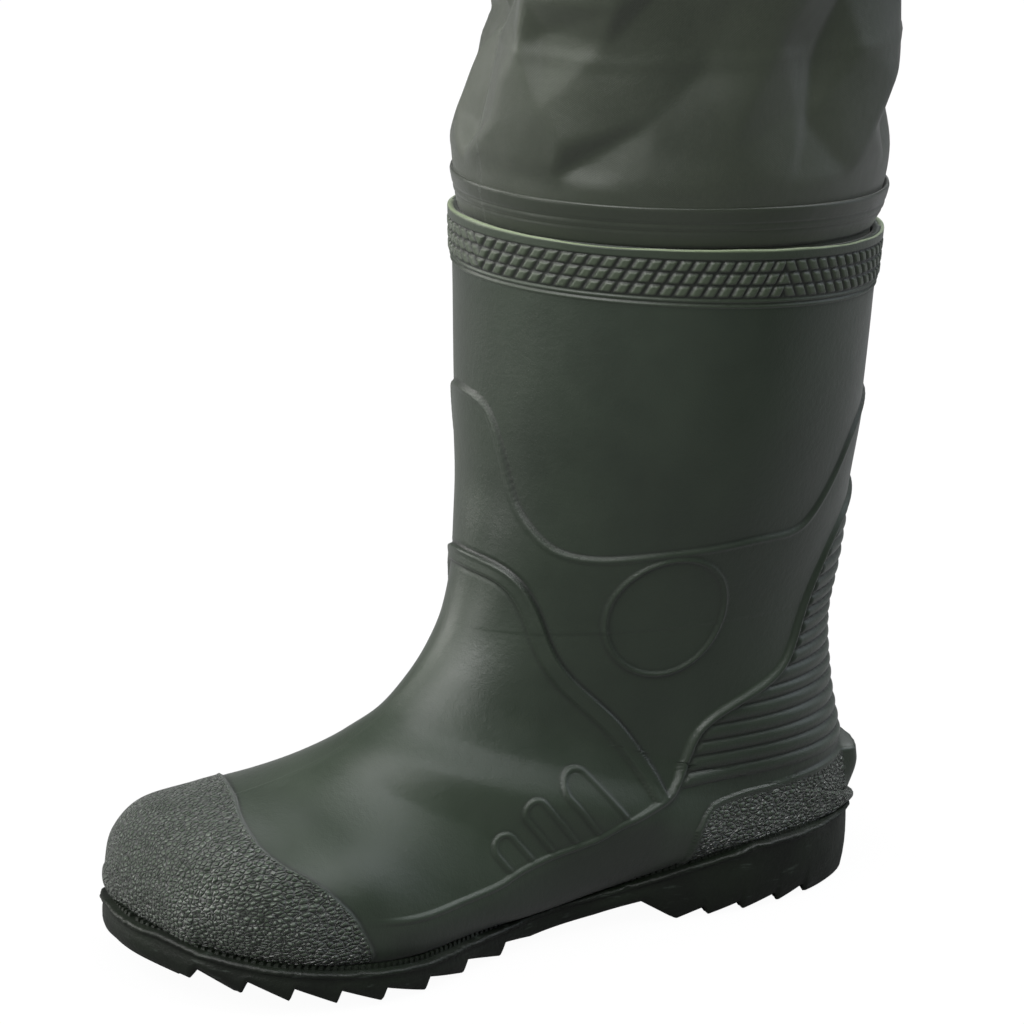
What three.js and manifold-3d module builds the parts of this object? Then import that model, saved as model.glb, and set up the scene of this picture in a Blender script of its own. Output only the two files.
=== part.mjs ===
// Chest waders: a coated-cloth suit with welded-in rubber boots, a bib with a pocket,
// and shoulder straps on quick-release buckles.
// Millimetres, +Z up. The suit faces -Y, so the wearer's right side is at -X.
// The origin is on the ground, under the middle of the whole object.
import * as THREE from "three";
import { mergeVertices } from "three/addons/utils/BufferGeometryUtils.js";
import ManifoldModule from "manifold-3d";

const manifold = await ManifoldModule();
manifold.setup();

// ---- driving dimensions -------------------------------------------------------------
const GAP = 0.3; // clearance between neighbouring pieces
const ON_BIB = 1; // clearance between the faceted bib and a piece that lies on it
const CLOTH = 2.5; // wall of the coated cloth
const BOOT_WALL = 3; // wall of the moulded boot
const TURN_OUT = 30; // degrees that each foot points outwards
const STANCE = 190; // half the distance between the boot shafts
const MID_Y = 21.9; // moves the whole object so that the origin is under its middle

const FABRIC_FOOT = 240; // lower end of the cloth leg, inside the boot shaft
const KNEE_LOW = 385; // the cloth that bends at the knee
const KNEE_HIGH = 595;
const HIP_LOW = 625; // the cloth that bends at the hip
const CROTCH = 785;
const SEAT_TOP = 930;
const BIB_MID = 1270; // mean height of the bib's top edge
const BIB_RISE = 30; // the front is this much higher and the back this much lower

const SHAFT_X = 91; // centre of the boot shaft, measured from the back of the heel

// ---- the boot -----------------------------------------------------------------------
// Boot frame: X from the back of the heel to the toe, Y to the inner side of the foot,
// Z up. Each section runs from a back or base point over the front or top point.
// front x, front z, back x, back z, inner half width, outer half width,
// height share of the widest point, roundness above it, base width share, roundness below
const BOOT_SECTIONS = [
  [174, 265, 8, 262, 69, 69, 0.5, 2.0, 0, 2.0],
  [172, 235, 9, 228, 67, 67, 0.5, 2.0, 0, 2.0],
  [171, 200, 9, 190, 63, 63, 0.5, 2.0, 0, 2.0],
  [170, 170, 10, 155, 57, 57, 0.5, 2.0, 0, 2.0],
  [172, 150, 11, 125, 51, 51, 0.48, 2.0, 0, 2.0],
  [174, 133, 15, 100, 47, 47, 0.45, 2.0, 0, 2.1],
  [178, 118, 12, 75, 45, 45, 0.42, 2.0, 0, 2.2],
  [185, 106, 6, 50, 44, 44, 0.38, 2.0, 0, 2.3],
  [194, 96, 3, 27, 43, 43, 0.35, 2.0, 0, 2.5],
  [206, 86, 22, 27, 44, 41, 0.32, 2.0, 0.84, 2.0],
  [220, 79, 70, 26, 47, 43, 0.28, 2.0, 0.96, 2.0],
  [234, 72, 125, 16, 42, 49, 0.25, 2.1, 0.9, 2.0],
  [249, 66, 175, 12, 45, 58, 0.22, 2.2, 0.86, 2.0],
  [265, 62, 222, 12, 51, 64, 0.2, 2.3, 0.98, 2.0],
  [283, 59, 260, 15, 49, 62, 0.2, 2.4, 1, 2.0],
  [296, 52, 285, 19, 40, 52, 0.2, 2.4, 1, 2.0],
  [304, 40, 300, 22, 23, 37, 0.2, 2.4, 1, 2.0],
];
const TOE_TIP = [307, 25]; // x, z
const INNER_TOE = [302, 30];
const FIRST_SOLE_SECTION = 8; // from here on the back points lie on the sole
const BOOT_SIDE_STEPS = 11; // facets on each side of a boot section

// ---- the outsole --------------------------------------------------------------------
// x, inner y, outer y of the sole's outline
const SOLE_OUTLINE = [
  [0, 0, 0],
  [6, 20, -18],
  [16, 33, -29],
  [40, 44, -39],
  [70, 47, -43],
  [98, 43, -46],
  [128, 37, -51],
  [158, 36, -57],
  [188, 43, -64],
  [216, 52, -68],
  [240, 55, -68],
  [264, 51, -63],
  [284, 43, -53],
  [298, 29, -40],
  [307, 10, -23],
  [310, -5, -5],
];
const HEEL_BREAST = [100, 114]; // x where the heel block ends, at the ground and above
const HEEL_GROOVES = [38, 54, 71, 86]; // x of the grooves across the heel
const GROOVE = [3.5, 3]; // width and depth
const FOREFOOT_START = 168;
const LUG_TIPS = [178, 199, 220, 240, 258, 275, 290, 302];
const LUG_DEPTH = 4.5;
const ARCH_THICKNESS = 9.5;
const TOE_SPRING_START = 215;
const TOE_SPRING = 12; // rise at the front of the sole
const INSOLE = { thickness: 4, width: 0.72, from: 26, to: 284 };

// ---- the cloth legs, right side -------------------------------------------------------
// height, centre x, centre y, half depth, half width, turn-out in degrees
const LEG_SECTIONS = [
  [240, -190, 0, 77, 62, 30],
  [262, -190, 0, 78, 63, 30],
  [285, -190, 0, 84, 70, 30],
  [340, -188, 0, 83, 69, 28],
  [400, -181, 0, 87, 75, 20],
  [490, -167, 0, 95, 85, 8],
  [600, -141, 2, 106, 96, 0],
  [700, -113, 4, 117, 101, 0],
];
const LEG_FACETS = 24;
const TAPE = { low: 271, high: 282, thickness: 1 }; // band over the boot joint

// ---- the torso ------------------------------------------------------------------------
// height, half width, half depth, squareness
const TORSO_SECTIONS = [
  [785, 204, 146, 2.2],
  [850, 210, 150, 2.3],
  [930, 206, 144, 2.4],
  [1000, 205, 140, 2.5],
  [1100, 210, 142, 2.6],
  [1200, 215, 145, 2.6],
  [1310, 213, 144, 2.6],
];
const TORSO_FACETS = 44;
const HEM = { height: 28, thickness: 2 };

// ---- the chest pocket -----------------------------------------------------------------
const POCKET = { half: 75, low: 1070, high: 1210, depth: 14, wall: 2.5 };
const FLAP = { half: 77, low: 1165, top: 1222, thickness: 2 };
const FASTENER = { half: 55, low: 1172, high: 1192, thickness: 1 };

// ---- the shoulder straps, right side ----------------------------------------------------
const STRAP_X = 100; // distance of each strap from the middle
const WEB = { width: 40, thickness: 2 };
const STRAP_FOOT = [-142, 1303]; // y, z where the buckle's line starts
const STRAP_LEAN = 15; // degrees that the straight front part leans back
const TONGUE = { from: 0, bar: 12, to: 32 }; // distances along the strap's line
const SOCKET = { from: 13, to: 48, width: 44, thickness: 12 };
const ADJUSTER = { from: 66, to: 90, width: 52, thickness: 8 };
const STRAP_SPLIT = 110; // the movable front part ends here
const STRAIGHT_TO = 130;
const TAB = { low: 1236, high: 1301.5 }; // webbing tab sewn on the bib
// y, z over the shoulder and down the back
const SHOULDER_PATH = [
  [-88, 1458],
  [-40, 1483],
  [22, 1486],
  [76, 1462],
  [112, 1410],
  [133, 1340],
  [145, 1265],
  [148, 1212],
  [147, 1160],
];
const BACK_PATCH = { half: 28, low: 1148, high: 1209, thickness: 1.5 };
const CROSS_STRAP = { height: 1330, width: 30 };

const rad = THREE.MathUtils.degToRad;
const range = (count) => [...Array(count).keys()];

// ---- tools for closed bodies ------------------------------------------------------------
// A closed body from points and triangles; shared points are joined and empty triangles go.
function bodyFrom(points, triangles) {
  const loose = new THREE.BufferGeometry();
  loose.setAttribute("position", new THREE.Float32BufferAttribute(points.flat(), 3));
  loose.setIndex(triangles.flat());
  const geometry = mergeVertices(loose, 1e-4);
  const index = geometry.index.array;
  const kept = [];
  for (let i = 0; i < index.length; i += 3) {
    const [a, b, c] = index.slice(i, i + 3);
    if (a !== b && b !== c && a !== c) kept.push(a, b, c);
  }
  geometry.setIndex(kept);
  return geometry;
}

// The side surface between rings of equal length, as triangles on a running point list.
function ringWalls(ringCount, size, first = 0) {
  const triangles = [];
  for (const r of range(ringCount - 1)) {
    for (const i of range(size)) {
      const a = first + r * size + i;
      const b = first + r * size + ((i + 1) % size);
      triangles.push([a, b, b + size], [a, b + size, a + size]);
    }
  }
  return triangles;
}

const flipped = (triangles) => triangles.map(([a, b, c]) => [a, c, b]);

// A solid through rings that run anticlockwise seen from the last one.
function solidLoft(rings) {
  const size = rings[0].length;
  const last = (rings.length - 1) * size;
  const flat = rings[0].map(([x, y, z]) => [x, y, z]);
  const contour = projected(flat);
  const caps = THREE.ShapeUtils.triangulateShape(contour, []);
  const turned = THREE.ShapeUtils.area(contour) < 0;
  const low = turned ? caps : flipped(caps);
  const high = flipped(low).map((t) => t.map((i) => i + last));
  return bodyFrom(rings.flat(), [...ringWalls(rings.length, size), ...low, ...high]);
}

// A ring drawn in its own plane, anticlockwise about its mean normal.
function projected(ring) {
  const points = ring.map((p) => new THREE.Vector3(...p));
  const normal = new THREE.Vector3();
  points.forEach((p, i) => normal.add(p.clone().cross(points[(i + 1) % points.length])));
  normal.normalize();
  const across = points[1].clone().sub(points[0]).normalize();
  const up = normal.clone().cross(across);
  return points.map((p) => new THREE.Vector2(p.dot(across), p.dot(up)));
}

// A tube wall between outer rings and inner rings, open at both ends.
function tubeWall(outer, inner) {
  const size = outer[0].length;
  const start = outer.length * size;
  const end = start + (inner.length - 1) * size;
  const top = (outer.length - 1) * size;
  const triangles = [
    ...ringWalls(outer.length, size),
    ...flipped(ringWalls(inner.length, size, start)),
  ];
  for (const i of range(size)) {
    const j = (i + 1) % size;
    triangles.push([j, i, start + i], [j, start + i, start + j]);
    triangles.push([top + i, top + j, end + j], [top + i, end + j, end + i]);
  }
  return bodyFrom([...outer, ...inner].flat(), triangles);
}

// A level ring moved inwards by a wall thickness.
function inset(ring, amount) {
  const size = ring.length;
  return ring.map(([x, y, z], i) => {
    const [x0, y0] = ring[(i + size - 1) % size];
    const [x1, y1] = ring[(i + 1) % size];
    const length = Math.hypot(x1 - x0, y1 - y0);
    return [x - (amount * (y1 - y0)) / length, y + (amount * (x1 - x0)) / length, z];
  });
}

const clothTube = (rings, thickness = CLOTH) =>
  tubeWall(rings, rings.map((ring) => inset(ring, thickness)));

// A row of a table at a height, on a smooth curve through the table's rows.
function rowAt(table, z) {
  const k = Math.max(0, table.findLastIndex((row) => row[0] <= z));
  const i = Math.min(k, table.length - 2);
  const [r0, r1] = [table[i], table[i + 1]];
  const before = table[Math.max(i - 1, 0)];
  const after = table[Math.min(i + 2, table.length - 1)];
  const step = r1[0] - r0[0];
  const t = (z - r0[0]) / step;
  return r0.map((value, c) => {
    const slope0 = ((r1[c] - before[c]) / (r1[0] - before[0])) * step;
    const slope1 = ((after[c] - r0[c]) / (after[0] - r0[0])) * step;
    const pull0 = t * (1 - t) * (1 - t) * slope0;
    const pull1 = t * t * (t - 1) * slope1;
    return value + (r1[c] - value) * t * t * (3 - 2 * t) + pull0 + pull1;
  });
}

// The mirror image of a body in the plane where the given coordinate is 0.
function mirrored(geometry, axis) {
  const copy = geometry.clone();
  copy.scale(axis === "x" ? -1 : 1, axis === "y" ? -1 : 1, 1);
  const index = copy.index.array;
  for (let i = 0; i < index.length; i += 3) {
    [index[i], index[i + 1]] = [index[i + 1], index[i]];
  }
  return copy;
}

function toSolid(geometry) {
  const bare = geometry.clone();
  bare.deleteAttribute("normal");
  bare.deleteAttribute("uv");
  const merged = mergeVertices(bare, 1e-4);
  return new manifold.Manifold(
    new manifold.Mesh({
      numProp: 3,
      vertProperties: new Float32Array(merged.attributes.position.array),
      triVerts: new Uint32Array(merged.index.array),
    }),
  );
}

function fromSolid(solid) {
  const mesh = solid.getMesh();
  const geometry = new THREE.BufferGeometry();
  geometry.setAttribute("position", new THREE.BufferAttribute(mesh.vertProperties, 3));
  geometry.setIndex(new THREE.BufferAttribute(mesh.triVerts, 1));
  return geometry;
}

// ---- boot pieces, in the boot frame -------------------------------------------------------
// One section of the boot, from the inner base over the top to the outer base.
function bootRing(section, wall) {
  const [frontX, frontZ, backX, backZ, inner, outer, crest, above, flat, below] = section;
  const length = Math.hypot(frontX - backX, frontZ - backZ);
  const pull = wall / length;
  const points = range(BOOT_SIDE_STEPS + 1).map((k) => {
    const share = (1 - Math.cos((Math.PI * k) / BOOT_SIDE_STEPS)) / 2;
    const up = Math.max(0, (share - crest) / (1 - crest));
    const down = Math.max(0, (crest - share) / crest);
    const rounded = up > 0 ? (1 - up ** above) ** (1 / above) : (1 - down ** below) ** (1 / below);
    const width = up > 0 ? rounded : flat + (1 - flat) * rounded;
    const along = pull + share * (1 - 2 * pull);
    return [backX + (frontX - backX) * along, width, backZ + (frontZ - backZ) * along];
  });
  const side = (half) => points.map(([x, width, z]) => [x, width * half, z]);
  const outerSide = side(-(outer - wall)).reverse();
  return [...side(inner - wall), ...outerSide.slice(1)];
}

function bootUpper() {
  const outer = BOOT_SECTIONS.map((section) => bootRing(section, 0));
  const inner = BOOT_SECTIONS.slice(0, -1).map((section) => bootRing(section, BOOT_WALL));
  inner[0].forEach((point, i) => {
    point[2] = outer[0][i][2];
  });
  const size = outer[0].length;
  const start = outer.length * size;
  const end = start + inner.length * size;
  const [toe, innerToe] = [end, end + 1];
  const triangles = [
    ...ringWalls(outer.length, size),
    ...flipped(ringWalls(inner.length, size, start)),
  ];
  for (const i of range(size)) {
    const j = (i + 1) % size;
    triangles.push([j, i, start + j], [start + j, i, start + i]);
    triangles.push([start - size + i, start - size + j, toe]);
    triangles.push([end - size + j, end - size + i, innerToe]);
  }
  const tips = [TOE_TIP, INNER_TOE].map(([x, z]) => [x, 0, z]);
  return bodyFrom([...outer.flat(), ...inner.flat(), ...tips], triangles);
}

// The line that the boot's base follows above the sole, as x and z.
const soleSeat = [
  ...BOOT_SECTIONS.slice(FIRST_SOLE_SECTION).map((section) => [section[2], section[3]]),
  TOE_TIP,
];

function seatHeight(x) {
  const k = soleSeat.findIndex(([seatX]) => seatX >= x);
  if (k < 0) return soleSeat.at(-1)[1];
  if (k === 0) return soleSeat[0][1];
  const [[x0, z0], [x1, z1]] = [soleSeat[k - 1], soleSeat[k]];
  return z0 + ((z1 - z0) * (x - x0)) / (x1 - x0);
}

const toeSpring = (x) => {
  const share = Math.max(0, x - TOE_SPRING_START) / (SOLE_OUTLINE.at(-1)[0] - TOE_SPRING_START);
  return TOE_SPRING * share * share;
};

// A plate between the x-z outline and the sole's outline, scaled in width.
function soleSolid(profile, width, from, to) {
  const side = new THREE.Shape(profile.map(([x, z]) => new THREE.Vector2(x, z)));
  const slab = new THREE.ExtrudeGeometry(side, { depth: 160, bevelEnabled: false });
  slab.rotateX(Math.PI / 2).translate(0, 80, 0);
  const innerEdge = SOLE_OUTLINE.map(([x, y]) => [x, y]);
  const outerEdge = SOLE_OUTLINE.slice(1, -1).map(([x, , y]) => [x, y]);
  const corners = [...innerEdge, ...outerEdge.reverse()];
  const loop = new THREE.CatmullRomCurve3(
    corners.map(([x, y]) => new THREE.Vector3(x, y * width, 0)),
    true,
  );
  const points = loop.getPoints(60).slice(0, -1);
  const shape = new THREE.Shape(
    points.map((p) => new THREE.Vector2(THREE.MathUtils.clamp(p.x, from, to), p.y)),
  );
  const prism = new THREE.ExtrudeGeometry(shape, { depth: 80, bevelEnabled: false });
  prism.translate(0, 0, -10);
  return fromSolid(toSolid(slab).intersect(toSolid(prism)));
}

function outsole() {
  const top = soleSeat.map(([x, z]) => [x, z - GAP]);
  const profile = [[-5, top[0][1]], ...top, [320, top.at(-1)[1]]];
  profile.push([320, 14]);
  LUG_TIPS.toReversed().forEach((tip, i) => {
    const next = LUG_TIPS.at(-i - 2) ?? FOREFOOT_START;
    profile.push([tip, toeSpring(tip)]);
    profile.push([tip - 2, toeSpring(tip) + LUG_DEPTH]);
    if (i === LUG_TIPS.length - 1) profile.push([next, toeSpring(next)]);
  });
  profile.push([FOREFOOT_START - 6, seatHeight(FOREFOOT_START) - ARCH_THICKNESS]);
  profile.push([HEEL_BREAST[1] + 20, seatHeight(HEEL_BREAST[1] + 20) - ARCH_THICKNESS]);
  profile.push([HEEL_BREAST[1], seatHeight(HEEL_BREAST[1]) - ARCH_THICKNESS]);
  profile.push([HEEL_BREAST[0], 0]);
  HEEL_GROOVES.toReversed().forEach((x) => {
    const half = GROOVE[0] / 2;
    profile.push([x + half, 0], [x + half, GROOVE[1]], [x - half, GROOVE[1]], [x - half, 0]);
  });
  profile.push([-5, 0]);
  return soleSolid(profile.reverse(), 1, 0, 310);
}

function insole() {
  const stops = [INSOLE.from - 5, 22, 70, 125, 175, 222, 260, 285, INSOLE.to + 5];
  const base = stops.map((x) => [x, seatHeight(x) + BOOT_WALL + GAP]);
  const top = base.map(([x, z]) => [x, z + INSOLE.thickness]).reverse();
  return soleSolid([...base, ...top], INSOLE.width, INSOLE.from, INSOLE.to);
}

// ---- cloth pieces, right leg ----------------------------------------------------------------
function legRing(z, grow = 0) {
  const [, x, y, depth, width, turn] = rowAt(LEG_SECTIONS, z);
  const [s, c] = [Math.sin(rad(turn)), Math.cos(rad(turn))];
  return range(LEG_FACETS).map((k) => {
    const angle = (2 * Math.PI * k) / LEG_FACETS;
    const forward = (depth + grow) * Math.cos(angle);
    const inward = (width + grow) * Math.sin(angle);
    return [x - s * forward + c * inward, y - c * forward - s * inward, z];
  });
}

const legTube = (heights) => clothTube(heights.map((z) => legRing(z)));

function bootJointTape() {
  const heights = [TAPE.low, TAPE.high];
  const outer = heights.map((z) => legRing(z, GAP + TAPE.thickness));
  const inner = heights.map((z) => legRing(z, GAP));
  return tubeWall(outer, inner);
}

// A point on the torso at an angle from +X towards +Y.
function torsoPoint(angle, z, grow = 0) {
  const [, halfWidth, halfDepth, square] = rowAt(TORSO_SECTIONS, z);
  const [c, s] = [Math.cos(angle), Math.sin(angle)];
  const bend = 2 / square;
  const x = (halfWidth + grow) * Math.sign(c) * Math.abs(c) ** bend;
  const y = (halfDepth + grow) * Math.sign(s) * Math.abs(s) ** bend;
  return [x, y, z];
}

// Half of the torso's section at the crotch, closed by a straight inner side.
function halfSection(z) {
  const outside = range(17).map((k) => torsoPoint(Math.PI / 2 + (Math.PI * k) / 16, CROTCH));
  const [, y0] = outside.at(-1);
  const [, y1] = outside[0];
  const inside = range(7).map((k) => [0, y0 + ((y1 - y0) * (k + 1)) / 8]);
  return [...outside, ...inside].map(([x, y]) => [Math.min(x, -GAP), y, z]);
}

// The leg's section with its points spread like those of halfSection.
function roundSection(z) {
  const [, x, y, depth, width] = rowAt(LEG_SECTIONS, Math.min(z, LEG_SECTIONS.at(-1)[0]));
  const inner = rad(60);
  const outside = range(17).map((k) => inner + ((2 * Math.PI - 2 * inner) * k) / 16);
  const inside = range(7).map((k) => -inner + (2 * inner * (k + 1)) / 8);
  return [...outside, ...inside].map((angle) => [
    x + width * Math.cos(angle),
    y + depth * Math.sin(angle),
    z,
  ]);
}

function hipFabric() {
  const heights = [HIP_LOW + GAP, 665, 705, 745, CROTCH];
  const rings = heights.map((z) => {
    const share = THREE.MathUtils.smoothstep(z, HIP_LOW, CROTCH);
    const [round, half] = [roundSection(z), halfSection(z)];
    return round.map((p, i) => p.map((value, c) => value + (half[i][c] - value) * share));
  });
  return clothTube(rings);
}

// ---- torso pieces ---------------------------------------------------------------------------
const torsoAngles = range(TORSO_FACETS).map((k) => (2 * Math.PI * k) / TORSO_FACETS);
const bibTop = (angle) => BIB_MID - BIB_RISE * Math.sin(angle);

const seat = () =>
  clothTube([CROTCH + GAP, 850, SEAT_TOP].map((z) => torsoAngles.map((a) => torsoPoint(a, z))));

function bib() {
  const shares = [0, 0.2, 0.5, 0.8, 1];
  const base = SEAT_TOP + GAP;
  const rings = shares.map((share) =>
    torsoAngles.map((a) => torsoPoint(a, base + (bibTop(a) - base) * share)),
  );
  return clothTube(rings);
}

function topHem() {
  const ringAt = (drop, grow) => torsoAngles.map((a) => torsoPoint(a, bibTop(a) - drop, grow));
  const outer = [ringAt(HEM.height, GAP + HEM.thickness), ringAt(0, GAP + HEM.thickness)];
  return tubeWall(outer, [ringAt(HEM.height, GAP), ringAt(0, GAP)]);
}

// The y of the bib's front, or of its back, at a place and a distance off the cloth.
function bibY(x, z, off, side = -1) {
  const [, halfWidth, halfDepth, square] = rowAt(TORSO_SECTIONS, z);
  const share = Math.abs(x) / (halfWidth + off);
  return side * (halfDepth + off) * (1 - share ** square) ** (1 / square);
}

// A piece that lies on the bib: an outline of distance and height, swept across x.
function onBib(outline, fromX, toX, steps, side = -1) {
  const rings = range(steps + 1).map((k) => {
    const x = fromX + ((toX - fromX) * k) / steps;
    return outline.map(([off, z]) => [x, bibY(x, z, off, side), z]);
  });
  return solidLoft(side < 0 ? rings : rings.map((ring) => ring.toReversed()));
}

const plate = (near, far, low, high) => [
  [near, low],
  [near, high],
  [far, high],
  [far, low],
];

function chestPocket() {
  const { half, low, high, depth, wall } = POCKET;
  const block = onBib(plate(ON_BIB, depth, low, high), -half, half, 8);
  const cavity = plate(-5, depth - wall, low + wall, high + 5);
  const hollow = onBib(cavity, wall - half, half - wall, 8);
  return fromSolid(toSolid(block).subtract(toSolid(hollow)));
}

const loopFace = POCKET.depth + GAP;
const hookFace = loopFace + FASTENER.thickness + GAP;
const flapFace = hookFace + FASTENER.thickness + GAP;
const fastenerStrip = (near) =>
  onBib(
    plate(near, near + FASTENER.thickness, FASTENER.low, FASTENER.high),
    -FASTENER.half,
    FASTENER.half,
    6,
  );

function pocketFlap() {
  const outside = flapFace + FLAP.thickness;
  const under = FLAP.top - FLAP.thickness;
  const outline = [
    [3, under],
    [3, FLAP.top],
    [outside, FLAP.top],
    [outside, FLAP.low],
    [flapFace, FLAP.low],
    [flapFace, under],
  ];
  return onBib(outline, -FLAP.half, FLAP.half, 8);
}

const flapSeam = () => onBib(plate(ON_BIB, ON_BIB + 1.5, 1215, 1229), -FLAP.half, FLAP.half, 8);

// ---- strap pieces, right side -----------------------------------------------------------------
const strapUp = [Math.sin(rad(STRAP_LEAN)), Math.cos(rad(STRAP_LEAN))];
const alongStrap = (s) => [STRAP_FOOT[0] + strapUp[0] * s, STRAP_FOOT[1] + strapUp[1] * s];

// Webbing along y-z points, standing across x.
function webbing(points, x, width, thickness) {
  const rings = points.map(([y, z], i) => {
    const [y0, z0] = points[Math.max(i - 1, 0)];
    const [y1, z1] = points[Math.min(i + 1, points.length - 1)];
    const length = Math.hypot(y1 - y0, z1 - z0);
    const [ny, nz] = [(-(z1 - z0) / length) * thickness / 2, ((y1 - y0) / length) * thickness / 2];
    return [
      [x - width / 2, y + ny, z + nz],
      [x + width / 2, y + ny, z + nz],
      [x + width / 2, y - ny, z - nz],
      [x - width / 2, y - ny, z - nz],
    ];
  });
  return solidLoft(rings);
}

// A flat plate drawn across the strap (u) and along it (s), centred on the strap's line.
function strapPlate(outline, thickness) {
  const shape = new THREE.Shape(outline.map(([u, s]) => new THREE.Vector2(u, s)));
  const geometry = new THREE.ExtrudeGeometry(shape, { depth: thickness, bevelEnabled: false });
  geometry.translate(0, 0, -thickness / 2);
  geometry.rotateX(Math.PI / 2 - rad(STRAP_LEAN));
  return geometry.translate(-STRAP_X, STRAP_FOOT[0], STRAP_FOOT[1]);
}

const rectangle = (half, from, to) => [
  [-half, from],
  [half, from],
  [half, to],
  [-half, to],
];

function buckleTongue() {
  const { from, bar, to } = TONGUE;
  const outline = [
    [-21, from],
    [21, from],
    [21, bar],
    [16, bar],
    [16, to - 4],
    [13, to],
    [10, to],
    [10, bar],
    [-10, bar],
    [-10, to],
    [-13, to],
    [-16, to - 4],
    [-16, bar],
    [-21, bar],
  ];
  return toClosed(strapPlate(outline, 4));
}

function toClosed(geometry) {
  return fromSolid(toSolid(geometry));
}

function buckleSocket() {
  const { from, to, width, thickness } = SOCKET;
  const half = width / 2;
  const outline = [
    [-half, from],
    [half, from],
    [half, to - 10],
    [half - 3, to],
    [3 - half, to],
    [-half, to - 10],
  ];
  const block = toSolid(strapPlate(outline, thickness));
  const mouth = toSolid(strapPlate(rectangle(17.5, from - 1, TONGUE.to + 2), 6));
  const windows = toSolid(strapPlate(rectangle(half + 2, from + 9, from + 17), 5));
  return fromSolid(block.subtract(mouth).subtract(windows));
}

function adjuster() {
  const { from, to, width, thickness } = ADJUSTER;
  const block = toSolid(strapPlate(rectangle(width / 2, from, to), thickness));
  const slot = toSolid(strapPlate(rectangle(WEB.width / 2 + 1, from - 1, to + 1), 4.4));
  return fromSolid(block.subtract(slot));
}

const strapFront = () =>
  webbing([alongStrap(SOCKET.to + GAP), alongStrap(STRAP_SPLIT)], -STRAP_X, WEB.width, WEB.thickness);

function shoulderStrap() {
  const start = [alongStrap(STRAP_SPLIT + GAP), alongStrap(STRAIGHT_TO)];
  const corners = [...start, ...SHOULDER_PATH].map(([y, z]) => new THREE.Vector3(0, y, z));
  const curve = new THREE.CatmullRomCurve3(corners);
  const points = curve.getPoints(36).map((p) => [p.y, p.z]);
  return webbing(points, -STRAP_X, WEB.width, WEB.thickness);
}

const tabOff = HEM.thickness + GAP + ON_BIB;
const half = WEB.width / 2;
const frontTab = () =>
  onBib(plate(tabOff, tabOff + 2, TAB.low, TAB.high), -STRAP_X - half, -STRAP_X + half, 3);

function backPatch() {
  const { low, high, thickness } = BACK_PATCH;
  const outline = plate(ON_BIB, ON_BIB + thickness, low, high);
  return onBib(outline, -STRAP_X - BACK_PATCH.half, -STRAP_X + BACK_PATCH.half, 3, 1);
}

function crossStrap() {
  const { height, width } = CROSS_STRAP;
  const reach = STRAP_X - half - GAP;
  const y = 134;
  const rings = [-reach, reach].map((x) => [
    [x, y + 1, height - width / 2],
    [x, y + 1, height + width / 2],
    [x, y - 1, height + width / 2],
    [x, y - 1, height - width / 2],
  ]);
  return solidLoft(rings);
}

// ---- materials ----------------------------------------------------------------------------
const finish = (color, roughness) =>
  new THREE.MeshStandardMaterial({ color, roughness, metalness: 0 });
const rubber = finish("#1d2622", 0.42);
const soleRubber = finish("#191f1c", 0.55);
const footbed = finish("#3c3f3a", 0.9);
const cloth = finish("#4a4a38", 0.62);
const tapeCloth = finish("#45452f", 0.5);
const webCloth = finish("#20221f", 0.85);
const plastic = finish("#1a1c1b", 0.4);
const fastener = finish("#24261f", 0.95);

// ---- assembly -----------------------------------------------------------------------------
const waders = new THREE.Group();
waders.position.y = MID_Y;

function add(name, geometry, material) {
  const mesh = new THREE.Mesh(geometry, material.clone());
  mesh.name = name;
  waders.add(mesh);
  return mesh;
}

// A left and a right copy of a piece that is modelled on the wearer's right.
function addPair(name, geometry, material) {
  add(`right_${name}`, geometry, material);
  add(`left_${name}`, mirrored(geometry, "x"), material);
}

function addBootPair(name, geometry, material) {
  const heelX = STANCE - SHAFT_X * Math.sin(rad(TURN_OUT));
  const heelY = SHAFT_X * Math.cos(rad(TURN_OUT));
  const right = add(`right_${name}`, geometry, material);
  right.rotation.z = -rad(90 + TURN_OUT);
  right.position.set(-heelX, heelY, 0);
  const left = add(`left_${name}`, mirrored(geometry, "y"), material);
  left.rotation.z = -rad(90 - TURN_OUT);
  left.position.set(heelX, heelY, 0);
}

addBootPair("outsole", outsole(), soleRubber);
addBootPair("boot_upper", bootUpper(), rubber);
addBootPair("insole", insole(), footbed);
addPair("lower_leg", legTube([FABRIC_FOOT, 262, 285, 335, KNEE_LOW]), cloth);
addPair("boot_joint_tape", bootJointTape(), tapeCloth);
addPair("knee_fabric", legTube([KNEE_LOW + GAP, 450, 520, KNEE_HIGH]), cloth);
addPair("thigh", legTube([KNEE_HIGH + GAP, HIP_LOW]), cloth);
addPair("hip_fabric", hipFabric(), cloth);
add("seat", seat(), cloth);
add("bib", bib(), cloth);
add("top_hem", topHem(), tapeCloth);
add("chest_pocket", chestPocket(), cloth);
add("pocket_loop_strip", fastenerStrip(loopFace), fastener);
add("flap_hook_strip", fastenerStrip(hookFace), fastener);
add("pocket_flap", pocketFlap(), cloth);
add("flap_seam_strip", flapSeam(), tapeCloth);
addPair("front_tab", frontTab(), webCloth);
addPair("buckle_tongue", buckleTongue(), plastic);
addPair("buckle_socket", buckleSocket(), plastic);
addPair("strap_front", strapFront(), webCloth);
addPair("adjuster", adjuster(), plastic);
addPair("shoulder_strap", shoulderStrap(), webCloth);
addPair("back_patch", backPatch(), cloth);
add("back_cross_strap", crossStrap(), webCloth);

export default waders;
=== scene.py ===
"""Looks of the chest waders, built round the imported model.

Shapes are worked out in millimetres and become metres when a mesh is made. A boot is shaped in
its own frame, X from heel to toe, Y to the inner side of the foot and Z up. Everything that
comes in pairs is made for the wearer's right side and mirrored.
"""
import math

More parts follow.
